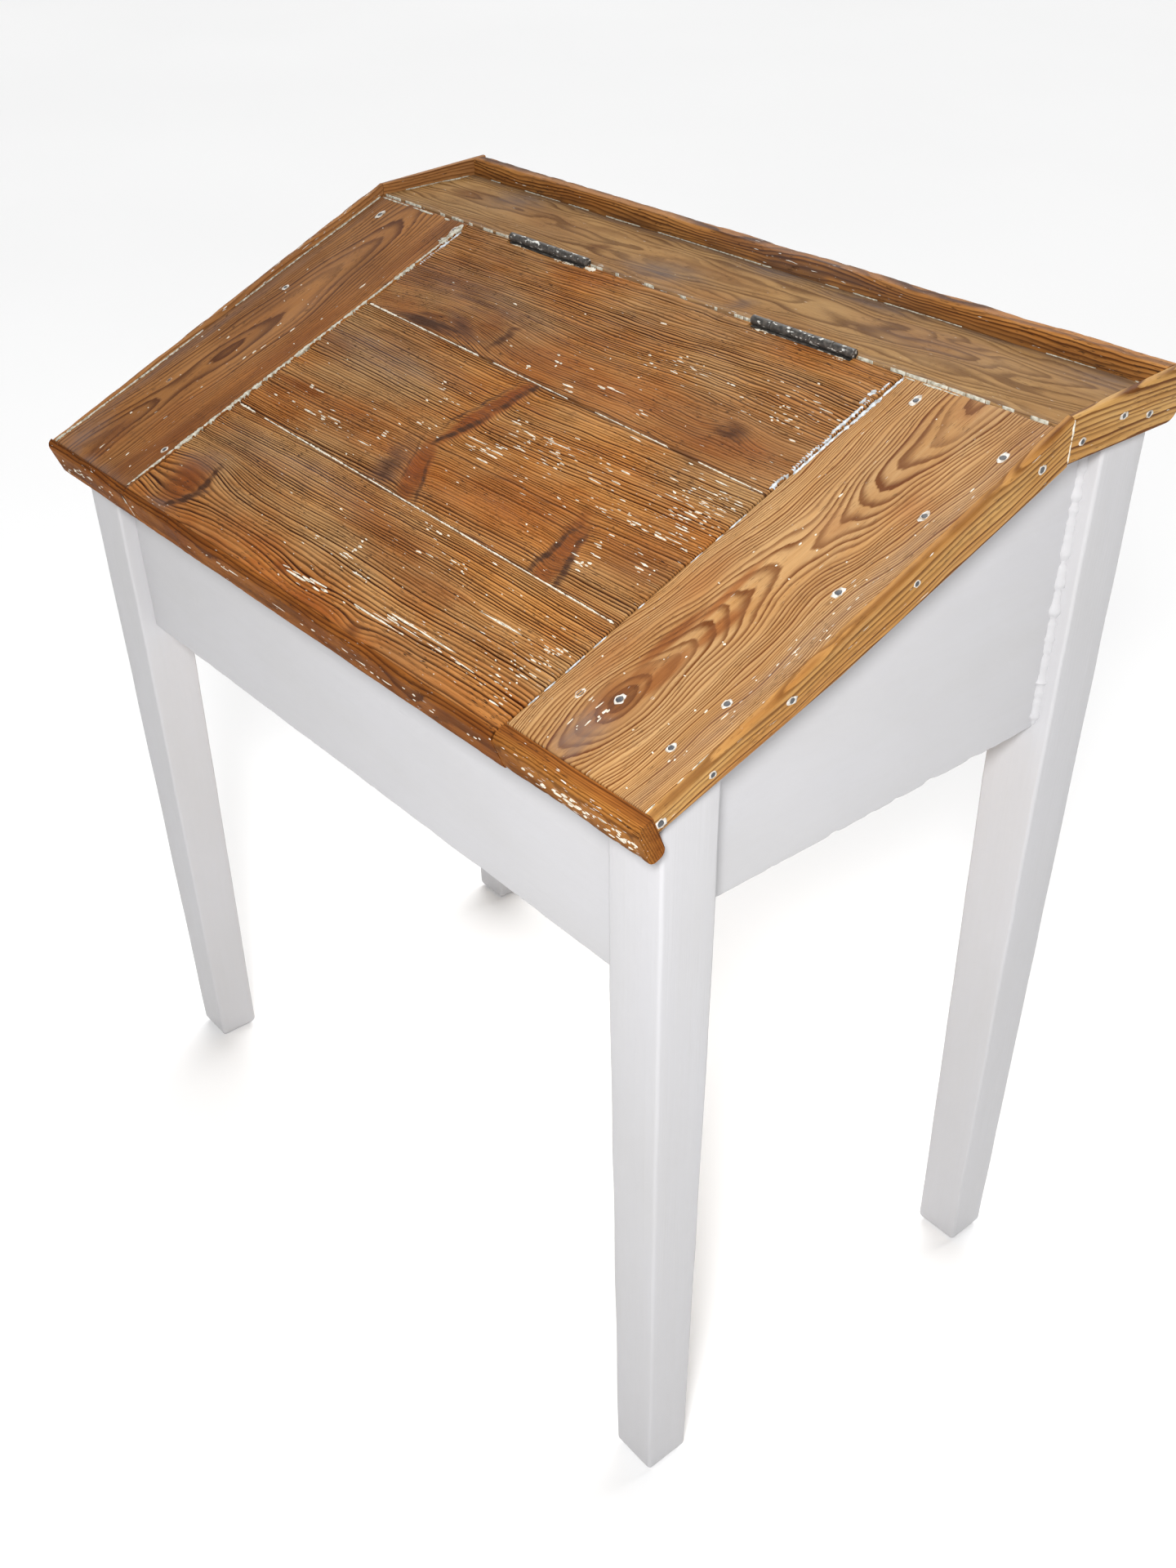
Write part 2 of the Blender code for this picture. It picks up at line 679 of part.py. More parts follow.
def build_hinges(shelf, rear_plank, pivot):
    """Make both butt hinges, let into shelf and lid, and return the pieces that turn."""
    fixed = tuple(range(0, KNUCKLES, 2))
    moving = tuple(range(1, KNUCKLES, 2))
    riders = []
    half = HINGE_LENGTH / 2
    for word, centre in HINGE_CENTRES:
        shelf_leaf = leaf("hinge_%s_shelf_leaf" % word, centre, 1, fixed)
        lid_leaf = leaf("hinge_%s_lid_leaf" % word, centre, -1, moving)
        barrel("hinge_%s_pin" % word, centre - half, centre + half, PIN_RADIUS, BORE_SIDES, IRON)
        seat = barrel(
            "hinge_%s_seat" % word, centre - half - GAP, centre + half + GAP,
            KNUCKLE_RADIUS + BARREL_GAP, BARREL_SIDES)
        low = (centre - half - GAP, BEND_Y - LEAF_THICK - 2 * GAP, SHELF_TOP - LEAF_DEPTH - GAP)
        high = (centre + half + GAP, BEND_Y + LEAF_THICK + 2 * GAP, AXIS_Z)
        recess = box("hinge_%s_recess" % word, low, high)
        for wood in (shelf, rear_plank):
            cut(wood, seat)
            cut(wood, recess)
        leaf_screws("hinge_%s_shelf_screw" % word, centre, 1, shelf_leaf, shelf)
        riders.append(lid_leaf)
        riders += leaf_screws("hinge_%s_lid_screw" % word, centre, -1, lid_leaf, rear_plank)
    return riders


def main():
    """Build the desk."""
    pivot = bpy.data.objects.new("lid_hinge_line", None)
    DESK.objects.link(pivot)
    pivot.location = (0, BEND_Y, AXIS_Z)
    bpy.context.view_layer.update()
    base = build_base()
    build_floor()
    shelf = build_top(base)
    planks = build_lid(pivot)
    for item in build_hinges(shelf, planks[0], pivot):
        lid_piece(item, pivot)


main()
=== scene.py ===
"""Dresses the slope-top school desk: brushed pine top, white painted base, iron hinges.

Every wooden piece is lofted along its own grain. A ring field laid through the wood drives the ridges of
the mesh and, through mesh attributes, the colour of the rings, so end grain and face grain agree.
"""
from __future__ import annotations

import json
import logging
import math
from dataclasses import dataclass, field
from enum import Enum, IntEnum
from typing import Callable, Iterable, Sequence

import bpy
import numpy as np
from mathutils import Matrix, Vector

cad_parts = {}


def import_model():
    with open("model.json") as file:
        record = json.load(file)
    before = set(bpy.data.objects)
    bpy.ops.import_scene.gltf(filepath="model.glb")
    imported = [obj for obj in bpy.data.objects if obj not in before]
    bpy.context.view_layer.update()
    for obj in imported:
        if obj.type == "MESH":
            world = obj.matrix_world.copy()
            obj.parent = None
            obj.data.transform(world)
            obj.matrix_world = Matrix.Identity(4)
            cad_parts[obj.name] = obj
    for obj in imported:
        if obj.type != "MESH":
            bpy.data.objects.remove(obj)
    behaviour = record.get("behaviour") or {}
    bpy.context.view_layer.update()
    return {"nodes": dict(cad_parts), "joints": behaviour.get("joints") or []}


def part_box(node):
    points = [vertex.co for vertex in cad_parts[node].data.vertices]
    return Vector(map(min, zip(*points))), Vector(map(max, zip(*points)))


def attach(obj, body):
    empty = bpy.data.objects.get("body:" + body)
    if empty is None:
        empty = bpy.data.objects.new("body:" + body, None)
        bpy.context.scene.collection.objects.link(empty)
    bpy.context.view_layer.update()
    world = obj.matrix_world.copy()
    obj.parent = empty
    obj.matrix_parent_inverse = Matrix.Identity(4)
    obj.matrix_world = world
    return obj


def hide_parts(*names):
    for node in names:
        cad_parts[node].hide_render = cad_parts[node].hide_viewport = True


LOG = logging.getLogger("school_desk")

# Sizes as in the solids, in metres
GAP = 0.0003
SEAM = 0.0008
SLOPE = math.radians(21.3)
HALF_SPAN = 0.375
LEG_X = 0.05
LEG_Y = 0.047
FOOT_X = 0.041
FOOT_Y = 0.04
FOOT_ROUND = 0.008
RECESS = 0.014
PANEL_THICK = 0.018
BOARD_THICK = 0.021
LID_HALF = 0.245 - SEAM
SIDE_INNER = 0.245 + SEAM
STRIP_THICK = 0.007
STRIP_DROP = 0.0225
STRIP_FRONT_DROP = 0.0145
STRIP_TRIM = 0.15
STRIP_PROUD = 0.008
STRIP_RISE = 0.006
NOSING_THICK = 0.014
NOSING_HEIGHT = 0.031
NOSING_ROUND = 0.0055
FIRST_JOINT = (0.117, 0.135)
SECOND_JOINT = (0.26, 0.272)
KNUCKLES = 5
HINGE_NOTCH = 0.005
RAIL_BELOW = 0.026
RAIL_ABOVE = 0.014
BATTEN_THICK = 0.018
STRIP_OUTER = HALF_SPAN + GAP + STRIP_THICK

# Sizes of the dressed pieces alone: the strips' worn skin, slim knuckles and pins, the lid's arrises
STRIP_SKIN = 0.0005
KNUCKLE_RADIUS = 0.0033
PIN_RADIUS = 0.0017
LID_EDGE = 0.0011
NUDGE = 0.00004

# Edges that bend less than this many degrees are smooth
PAINT_SHARP = 80.0
BEAD_SHARP = 70.0
PLANK_SHARP = 60.0
IRON_SHARP = 50.0

# Photo frame and camera
PHOTO_WIDTH = 1440
PHOTO_HEIGHT = 1920
SENSOR = 36.0

Points = np.ndarray
Place = tuple[float, float, float]
Colour = tuple[float, float, float]
Line = Callable[[float], float]
Socket = bpy.types.NodeSocket


class Body(Enum):
    """The two bodies of the desk."""

    DESK = "desk_frame"
    LID = "lid"


class Where(IntEnum):
    """A place that the solids' names give by a word."""

    @property
    def word(self) -> str:
        """The word in the solids' names."""
        return self.name.lower()


class Side(Where):
    """The two sides; the value points outwards along X."""

    LEFT = -1
    RIGHT = 1


class End(Where):
    """Front and rear; the value points inwards along Y."""

    FRONT = 1
    REAR = -1


class Slot(Enum):
    """The record's material slots."""

    PAINT = "white_paint"
    RAW = "raw_pine"
    HONEY = "honey_pine"
    BRUSHED = "brushed_pine"
    DARK = "dark_pine"
    ORANGE = "orange_pine"
    IRON = "black_iron"
    NAIL = "nail_iron"


def waves(u: Points, v: Points, seed: int, along: float, across: float) -> Points:
    """Smooth seeded unevenness of about unit height.

    Args:
        u: Places along the piece.
        v: Places across the piece.
        seed: Seed of the pattern.
        along: Typical wave length along the piece.
        across: Typical wave length across the piece.

    Returns:
        The heights, one for each place.
    """
    rng = np.random.default_rng(seed)
    total = np.zeros(np.broadcast(u, v).shape)
    count = 7
    for _ in range(count):
        turn_u = 2 * math.pi / (along * rng.uniform(0.5, 1.7))
        turn_v = 2 * math.pi / (across * rng.uniform(0.5, 1.7)) * rng.choice((-1, 1))
        total = total + np.sin(u * turn_u + v * turn_v + rng.uniform(0, 2 * math.pi))
    return total / math.sqrt(count)


def wave(place: float, seed: int, length: float) -> float:
    """Return seeded unevenness at one place along a piece."""
    return float(waves(np.array(place), np.array(0.0), seed, length, 1.0))


def turns(count: int) -> Points:
    """Return evenly spaced angles round a circle."""
    return np.linspace(0, 2 * math.pi, count, endpoint=False)


def link(name: str, data: bpy.types.ID) -> bpy.types.Object:
    """Return a new object of some data, put in the scene.

    Args:
        name: Its name.
        data: Mesh, light or camera.

    Returns:
        The object.
    """
    item = bpy.data.objects.new(name, data)
    bpy.context.scene.collection.objects.link(item)
    return item


@dataclass(frozen=True)
class Patch:
    """An elliptical mark in a board's own coordinates.

    The shares say how dark, how red, how grey and how paint-stained the wood is there. push bends the
    rings round the patch, and smooth planes the ridges away.
    """

    along: float
    across: float
    half_length: float
    half_width: float
    turn: float = 0.0
    dark: float = 0.0
    red: float = 0.0
    grey: float = 0.0
    paint: float = 0.0
    push: float = 0.0
    smooth: float = 0.0
    crisp: float = 1.0

    def distance(self, u: Points, v: Points) -> Points:
        """Return the elliptical distance, 1 on the patch's rim.

        Args:
            u: Places along the board.
            v: Places across it.

        Returns:
            The distances.
        """
        du = u - self.along
        dv = v - self.across
        c = math.cos(self.turn)
        s = math.sin(self.turn)
        return np.hypot((du * c + dv * s) / self.half_length, (dv * c - du * s) / self.half_width)

    def share(self, u: Points, v: Points) -> Points:
        """Return how strongly the patch shows at each place, 0 to 1."""
        return 1 / (1 + np.exp(np.clip((self.distance(u, v) - 1) * self.crisp * 2, -40, 40)))


@dataclass(frozen=True)
class Grain:
    """The rings of one board: circles round a pith line that rises and falls under its face."""

    pith_across: float
    pith_depths: tuple[tuple[float, float], ...]
    period: float
    pith_shift: tuple[tuple[float, float], ...] = ((0.0, 0.0),)
    tighten: float = 0.0
    drift: float = 0.0015
    drift_along: float = 0.25
    drift_across: float = 0.05
    seed: int = 1
    groove: float = 0.0
    uneven: float = 0.0
    patches: tuple[Patch, ...] = ()

    @staticmethod
    def eased(u: Points, pairs: Sequence[tuple[float, float]]) -> Points:
        """Return values given at some places along the board, eased between them.

        Args:
            u: Places along the board.
            pairs: Places and their values.

        Returns:
            The values.
        """
        places = [pair[0] for pair in pairs]
        values = [pair[1] for pair in pairs]
        reach = 0.014
        both = np.interp(u - reach, places, values) + np.interp(u + reach, places, values)
        return (both + 2 * np.interp(u, places, values)) / 4

    def rings(self, uvw: Points) -> Points:
        """Return the ring number at each place (u along, v across, w above the face).

        Args:
            uvw: Board coordinates: along, across, above the face.

        Returns:
            The ring numbers.
        """
        u, v, w = uvw[..., 0], uvw[..., 1], uvw[..., 2]
        depth = self.eased(u, self.pith_depths)
        radius = np.hypot(v - self.pith_across - self.eased(u, self.pith_shift), depth - w)
        radius = radius + self.drift * waves(u, v, self.seed, self.drift_along, self.drift_across)
        radius = radius + 0.12 * self.drift * waves(u, v, self.seed + 7, 0.05, 0.02)
        for patch in self.patches:
            if patch.push:
                radius = radius + patch.push * np.exp(-patch.distance(u, v) ** 2)
        ring = radius / self.period + self.tighten * (radius / 0.05) ** 2
        slow = 1.1 * np.sin(ring * 0.37 + self.seed) + 0.6 * np.sin(ring * 0.83 + 2 * self.seed)
        quick = 0.22 * np.sin(ring * 0.9 + self.seed) + 0.12 * np.sin(ring * 2.3)
        return ring + quick + self.uneven * slow

    def marks(self, uvw: Points) -> Points:
        """Return dark, red, grey and paint shares at each place.

        Args:
            uvw: Board coordinates: along, across, above the face.

        Returns:
            The four shares.
        """
        u, v = uvw[..., 0], uvw[..., 1]
        rough = 0.004 * waves(u, v, self.seed + 3, 0.06, 0.02)
        out = np.zeros(u.shape + (4,))
        for patch in self.patches:
            sway = rough * min(1.0, 0.9 / patch.crisp)
            share = patch.share(u + sway, v + sway * 0.5)
            for channel, amount in enumerate((patch.dark, patch.red, patch.grey, patch.paint)):
                if amount:
                    out[..., channel] = np.maximum(out[..., channel], share * amount)
        return out

    def relief(self, uvw: Points) -> Points:
        """Return how deep the soft wood is brushed out at each place.

        Args:
            uvw: Board coordinates: along, across, above the face.

        Returns:
            The depths.
        """
        if not self.groove:
            return np.zeros(uvw.shape[:-1])
        turn = self.rings(uvw) % 1.0
        furrow = np.clip(1 - np.abs((turn - 0.4) % 1.0 - 0.5) / 0.34, 0, 1)
        furrow = furrow * furrow * (3 - 2 * furrow)
        depth = self.groove * (0.75 + 0.35 * waves(uvw[..., 0], uvw[..., 1], self.seed + 5, 0.09, 0.03))
        for patch in self.patches:
            if patch.smooth:
                depth = depth * (1 - patch.smooth * patch.share(uvw[..., 0], uvw[..., 1]))
        return furrow * np.clip(depth, 0, None)


@dataclass(frozen=True)
class Lay:
    """Where a piece lies: its origin and its directions along, across and out of its face."""

    origin: Place
    along: Place
    across: Place
    out: Place

    def place(self, uvw: Points) -> Points:
        """Return world points of board coordinates."""
        axes = np.array([self.along, self.across, self.out], float)
        return np.array(self.origin, float) + uvw @ axes


@dataclass
class Shell:
    """A mesh in the making: closed lofts and small bodies gathered into one piece."""

    points: list[Points] = field(default_factory=list)
    faces: list[list[int]] = field(default_factory=list)
    board: list[Points] = field(default_factory=list)
    ring: list[Points] = field(default_factory=list)
    marks: list[Points] = field(default_factory=list)
    count: int = 0

    def add(self, uvw: Points, lay: Lay, grain: Grain | None, flat: Points | None = None) -> None:
        """Add a closed loft.

        Args:
            uvw: Board coordinates, one row for each station, one column for each point of its outline.
            lay: Where the piece lies.
            grain: Its ring field, or None.
            flat: Board coordinates before any relief, for the attributes.
        """
        rows, columns = uvw.shape[:2]
        world = lay.place(uvw).reshape(-1, 3)
        start = self.count
        index = np.arange(rows * columns).reshape(rows, columns) + start
        after = np.roll(index, -1, axis=1)
        quads = np.stack([index[:-1], after[:-1], after[1:], index[1:]], -1).reshape(-1, 4)
        body = quads.tolist()
        body.append(index[0][::-1].tolist())
        body.append(index[-1].tolist())
        a, b, c, d = (world[quads[:, k] - start] for k in range(4))
        middle = world.mean(0)
        volume = np.einsum("ij,ij->i", a - middle, np.cross(b - middle, c - middle)).sum()
        volume += np.einsum("ij,ij->i", a - middle, np.cross(c - middle, d - middle)).sum()
        if volume < 0:
            body = [face[::-1] for face in body]
        self.faces += body
        self.points.append(world)
        base = (uvw if flat is None else flat).reshape(-1, 3)
        self.board.append(base)
        self.ring.append(grain.rings(base) if grain else np.zeros(len(base)))
        self.marks.append(grain.marks(base) if grain else np.zeros((len(base), 4)))
        self.count += rows * columns

    @classmethod
    def of(cls, uvw: Points, lay: Lay, grain: Grain, flat: Points | None = None) -> "Shell":
        """Return a shell of one loft.

        Args:
            uvw: Board coordinates.
            lay: Where the piece lies.
            grain: Its ring field.
            flat: Board coordinates before any relief.

        Returns:
            The shell.
        """
        shell = cls()
        shell.add(uvw, lay, grain, flat)
        return shell

    def make(self, name: str, sharp: float = 45.0) -> bpy.types.Object:
        """Turn the shell into an object.

        Args:
            name: Name of the piece.
            sharp: Edges that bend more than this many degrees stay sharp.

        Returns:
            The new object, with its attributes board, ring and marks.
        """
        mesh = bpy.data.meshes.new(name)
        points = np.concatenate(self.points)
        mesh.from_pydata(points.tolist(), [], self.faces)
        board = mesh.attributes.new("board", "FLOAT_VECTOR", "POINT")
        board.data.foreach_set("vector", np.concatenate(self.board).astype(np.float32).ravel())
        ring = mesh.attributes.new("ring", "FLOAT", "POINT")
        ring.data.foreach_set("value", np.concatenate(self.ring).astype(np.float32))
        marks = mesh.attributes.new("marks", "FLOAT_COLOR", "POINT")
        marks.data.foreach_set("color", np.concatenate(self.marks).astype(np.float32).ravel())
        mesh.update()
        mesh.shade_smooth()
        mesh.set_sharp_from_angle(angle=math.radians(sharp))
        return link(name, mesh)


def outline(corners: Sequence[Sequence[float]], radii: Sequence[float], steps: Sequence[int]) -> Points:
    """Return a closed outline with rounded corners and subdivided edges.

    Args:
        corners: The corners in order.
        radii: The radius at each corner.
        steps: Into how many parts the edge after each corner is divided.

    Returns:
        The outline's points, the same number for the same steps.
    """
    arc = 4
    count = len(corners)
    pts = [np.array(corner, float) for corner in corners]
    arcs = []
    for i in range(count):
        before = pts[i - 1] - pts[i]
        after = pts[(i + 1) % count] - pts[i]
        before = before / np.linalg.norm(before)
        after = after / np.linalg.norm(after)
        half = math.acos(max(-1.0, min(1.0, float(before @ after)))) / 2
        radius = max(radii[i], 0.00005)
        reach = radius / math.tan(half)
        middle = before + after
        centre = pts[i] + middle / np.linalg.norm(middle) * radius / math.sin(half)
        first = pts[i] + before * reach - centre
        last = pts[i] + after * reach - centre
        turned = []
        for k in range(arc + 1):
            arm = first * (1 - k / arc) + last * (k / arc)
            turned.append(centre + arm / np.linalg.norm(arm) * radius)
        arcs.append(np.array(turned))
    out = []
    for i in range(count):
        out.append(arcs[i])
        begin = arcs[i][-1]
        end = arcs[(i + 1) % count][0]
        share = np.linspace(0, 1, steps[i] + 1)[1:-1, None]
        out.append(begin * (1 - share) + end * share)
    return np.concatenate(out)


def stations(low: float, high: float, step: float, extra: Iterable[float] = ()) -> Points:
    """Return places from low to high about a step apart, with close ones at both ends.

    Args:
        low: One end.
        high: The other end.
        step: Distance between them, about.
        extra: More places.

    Returns:
        The places in order.
    """
    reach = high - low
    count = max(2, int(math.ceil(reach / step)) + 1)
    places = list(np.linspace(low, high, count))
    for near in (0.0003, 0.0008, 0.0016, 0.003):
        if near * 3 < reach:
            places += [low + near, high - near]
    places += list(extra)
    return np.unique(np.round(np.array(places), 7))


def loft(places: Points, section: Callable[[float], Points]) -> Points:
    """Return board coordinates of a loft: the section at each place along the piece.

    Args:
        places: Places along the piece.
        section: Gives the outline at a place.

    Returns:
        The coordinates, a row for each place.
    """
    rows = []
    for u in places:
        flat = section(float(u))
        rows.append(np.column_stack([np.full(len(flat), u), flat]))
    return np.array(rows)


def set_stops(elements: bpy.types.ColorRampElements, stops: Sequence[tuple[float, float]]) -> None:
    """Give a colour ramp its grey stops, each a place and a level.

    Args:
        elements: The ramp's elements.
        stops: Place and level of each stop.
    """
    while len(elements) < len(stops):
        elements.new(0.5)
    for element, (place, level) in zip(elements, stops):
        element.position = place
        element.color = (level, level, level, 1)


class Graph:
    """Builds a node material step by step."""

    def __init__(self, name: str) -> None:
        """Start a material with a Principled shader.

        Args:
            name: Name of the material.
        """
        self.material = bpy.data.materials.new(name)
        self.material.use_nodes = True
        self.tree = self.material.node_tree
        self.shader = self.tree.nodes["Principled BSDF"]

    def add(self, kind: str, **settings: object) -> bpy.types.Node:
        """Add a node and set its properties.

        Args:
            kind: Type of the node.
            settings: Its properties.

        Returns:
            The node.
        """
        made = self.tree.nodes.new(kind)
        for key, value in settings.items():
            setattr(made, key, value)
        return made

    def put(self, socket: Socket, value: object) -> None:
        """Link a socket to another, or set its value.

        Args:
            socket: The input.
            value: An output or a constant.
        """
        if isinstance(value, Socket):
            self.tree.links.new(value, socket)
        else:
            socket.default_value = value

    def feed(self, name: str, value: object) -> None:
        """Link or set an input of the shader."""
        self.put(self.shader.inputs[name], value)

    def wire(self, kind: str, inputs: dict[int | str, object], out: int | str = 0,
             **settings: object) -> Socket:
        """Add a node and fill its inputs.

        Args:
            kind: Type of the node.
            inputs: Outputs or constants for its inputs.
            out: Which output is wanted.
            settings: Its properties.

        Returns:
            That output.
        """
        made = self.add(kind, **settings)
        for key, value in inputs.items():
            self.put(made.inputs[key], value)
        return made.outputs[out]

    def math(self, kind: str, a: object, b: object = 0.0, clamp: bool = False) -> Socket:
        """Return a sum, product or other function of two numbers."""
        return self.wire("ShaderNodeMath", {0: a, 1: b}, operation=kind, use_clamp=clamp)

    def times(self, a: object, b: object) -> Socket:
        """Return a product."""
        return self.math("MULTIPLY", a, b)

    def plus(self, a: object, b: object) -> Socket:
        """Return a sum."""
        return self.math("ADD", a, b)

    def mix(self, share: object, a: object, b: object, blend: str = "MIX") -> Socket:
        """Return a mix of two colours."""
        a, b = (end if isinstance(end, Socket) else (*end, 1.0) for end in (a, b))
        kind = {"data_type": "RGBA", "blend_type": blend, "clamp_factor": True}
        return self.wire("ShaderNodeMix", {0: share, 6: a, 7: b}, 2, **kind)

    def stretch(self, vector: Socket, factors: Place, offset: Place = (0, 0, 0)) -> Socket:
        """Return a vector stretched by three factors, then moved."""
        inputs = {0: vector, 1: factors, 2: offset}
        return self.wire("ShaderNodeVectorMath", inputs, operation="MULTIPLY_ADD")

    def noise(self, vector: Socket, detail: float = 2.0, scale: float = 1.0) -> Socket:
        """Return a noise value, about 0.5 in the middle."""
        return self.wire("ShaderNodeTexNoise", {"Vector": vector, "Scale": scale, "Detail": detail}, "Fac")

    def ramp(self, value: object, stops: Sequence[tuple[float, float]]) -> Socket:
        """Return a grey ramp of a value.

        Args:
            value: The input.
            stops: Place and level of each stop.

        Returns:
            The ramp's output.
        """
        made = self.add("ShaderNodeValToRGB")
        self.put(made.inputs[0], value)
        set_stops(made.color_ramp.elements, stops)
        return made.outputs[0]

    def attribute(self, name: str) -> bpy.types.Node:
        """Return an attribute node."""
        return self.add("ShaderNodeAttribute", attribute_name=name)

    def bump(self, height: Socket, distance: float, strength: float) -> None:
        """Give the shader a bumped normal."""
        inputs = {"Strength": strength, "Distance": distance, "Height": height}
        self.feed("Normal", self.wire("ShaderNodeBump", inputs))


class Finish:
    """A finish whose node material is made at its first use."""

    name: str

    def material(self) -> bpy.types.Material:
        """Return the finish's material.

        Returns:
            The same material at every call.
        """
        found = bpy.data.materials.get(self.name)
        if found:
            return found
        g = Graph(self.name)
        self.fill(g)
        return g.material

    def fill(self, g: Graph) -> None:
        """Add the finish's own nodes."""
        raise NotImplementedError


@dataclass(frozen=True)
class WoodFinish(Finish):
    """Waxed old pine: ring colours, how strongly they show, and how it shines."""

    name: str
    light: Colour
    dark: Colour
    tone: Colour
    contrast: float = 1.0
    fibre: float = 0.25
    specks: float = 0.5
    roughness: float = 0.45
    bump: float = 0.0005
    wobble: float = 0.35
    glow: float = 0.3
    shine: float = 0.08
    blush: float = 0.0

    def fill(self, g: Graph) -> None:
        """Add the nodes, coloured by the ring, board and marks attributes of the mesh.

        Args:
            g: The material's graph.
        """
        board = g.attribute("board").outputs["Vector"]
        marks = g.attribute("marks")
        split = g.add("ShaderNodeSeparateColor")
        g.put(split.inputs[0], marks.outputs["Color"])
        wobble = g.math("SUBTRACT", g.noise(g.stretch(board, (18, 330, 330)), 3.0), 0.5)
        ring = g.plus(g.attribute("ring").outputs["Fac"], g.times(wobble, self.wobble))
        turn = g.math("FRACT", ring)
        profile = ((0.0, 0.7), (0.1, 0.06), (0.48, 0.16), (0.8, 0.88), (0.94, 1.0), (1.0, 0.9))
        late = g.ramp(turn, profile)
        white = g.add("ShaderNodeTexWhiteNoise", noise_dimensions="1D")
        g.put(white.inputs["W"], g.math("FLOOR", ring))
        weight = g.plus(g.times(white.outputs["Value"], 0.65), 0.55)
        faded = g.math("SUBTRACT", 1.0, g.times(split.outputs["Green"], 0.5))
        weight = g.times(weight, faded)
        late = g.math("MULTIPLY", g.times(late, weight), self.contrast, True)
        colour = g.mix(late, self.light, self.dark)
        streak = g.noise(g.stretch(board, (14, 260, 260)), 3.0)
        veil = g.times(g.math("SUBTRACT", streak, 0.5), 0.55)
        cloud = g.plus(g.noise(g.stretch(board, (10, 26, 26)), 3.0), veil)
        blotch = g.ramp(cloud, ((0.36, 0.0), (0.64, 1.0)))
        colour = g.mix(g.times(blotch, 0.85), colour, self.tone, "MULTIPLY")
        sheen = g.noise(g.stretch(board, (9, 20, 20), (5.3, 2.1, 7.7)), 3.0)
        glow = g.ramp(sheen, ((0.46, 0.0), (0.66, 1.0)))
        colour = g.mix(g.times(glow, self.glow), colour, (1.34, 1.26, 1.06), "MULTIPLY")
        if self.blush:
            sweep = g.noise(g.stretch(board, (7, 15, 15), (1.7, 9.4, 3.2)), 3.0)
            tint = g.mix(g.ramp(sweep, ((0.4, 0.0), (0.6, 1.0))), (0.99, 1.09, 1.3), (1.06, 0.86, 0.6))
            colour = g.mix(self.blush, colour, tint, "MULTIPLY")
        fibres = g.noise(g.stretch(board, (70, 1700, 1700)), 2.0)
        shade = g.plus(g.times(fibres, self.fibre * 2), 1 - self.fibre)
        grey = g.add("ShaderNodeCombineColor")
        for channel in range(3):
            g.put(grey.inputs[channel], shade)
        colour = g.mix(1.0, colour, grey.outputs[0], "MULTIPLY")
        colour = g.mix(split.outputs["Green"], colour, (0.7, 0.45, 0.28), "MULTIPLY")
        spots = g.noise(g.stretch(board, (60, 120, 120)), 3.0)
        mottle = g.math("SUBTRACT", g.plus(g.times(streak, 1.5), spots), 0.45)
        colour = g.mix(g.times(split.outputs["Blue"], mottle), colour, (0.15, 0.13, 0.13))
        colour = g.mix(g.times(split.outputs["Red"], mottle), colour, (0.055, 0.022, 0.01))
        dash = g.ramp(g.noise(g.stretch(board, (130, 1300, 1300)), 1.0), ((0.63, 0.0), (0.69, 1.0)))
        rare = g.ramp(g.noise(g.stretch(board, (22, 50, 50)), 2.0), ((0.42, 0.0), (0.56, 1.0)))
        speck = g.times(g.times(dash, rare), self.specks)
        colour = g.mix(speck, colour, (0.045, 0.02, 0.01))
        chips = g.noise(g.stretch(board, (110, 900, 900)), 1.5)
        level = g.plus(g.times(marks.outputs["Alpha"], 0.13), chips)
        flake = g.ramp(level, ((0.745, 0.0), (0.785, 1.0)))
        colour = g.mix(flake, colour, (0.72, 0.69, 0.62))
        g.feed("Base Color", colour)
        gloss = g.times(g.noise(g.stretch(board, (20, 60, 60)), 2.0), 0.28)
        gloss = g.plus(gloss, self.roughness - 0.1)
        g.feed("Roughness", g.plus(gloss, g.times(flake, 0.25)))
        g.feed("Specular IOR Level", self.shine)
        height = g.plus(g.times(late, 0.6), g.times(fibres, 0.5))
        height = g.math("SUBTRACT", height, g.times(speck, 0.8))
        g.bump(g.plus(height, g.times(flake, 0.7)), self.bump, 0.7)


@dataclass(frozen=True)
class PaintFinish(Finish):
    """White brushed paint on wood, a little uneven and grubby."""

    name: str = "white_brushed_paint"
    colour: Colour = (0.5, 0.496, 0.511)
    dirt: Colour = (0.42, 0.41, 0.39)

    def fill(self, g: Graph) -> None:
        """Add the nodes, brushed along the piece.

        Args:
            g: The material's graph.
        """
        board = g.attribute("board").outputs["Vector"]
        cloud = g.ramp(g.noise(g.stretch(board, (5, 16, 16)), 4.0), ((0.35, 0.0), (0.7, 1.0)))
        colour = g.mix(g.times(cloud, 0.22), self.colour, self.dirt)
        brush = g.noise(g.stretch(board, (9, 420, 420)), 3.0)
        streak = g.ramp(brush, ((0.4, 0.0), (0.75, 1.0)))
        colour = g.mix(g.times(streak, 0.14), colour, (0.47, 0.46, 0.45))
        g.feed("Base Color", colour)
        grain = g.noise(g.stretch(board, (60, 160, 160)), 3.0)
        g.feed("Roughness", g.plus(g.times(grain, 0.2), 0.42))
        g.feed("Specular IOR Level", 0.4)
        height = g.plus(g.times(brush, 0.6), g.times(grain, 0.5))
        g.bump(height, 0.0005, 0.5)


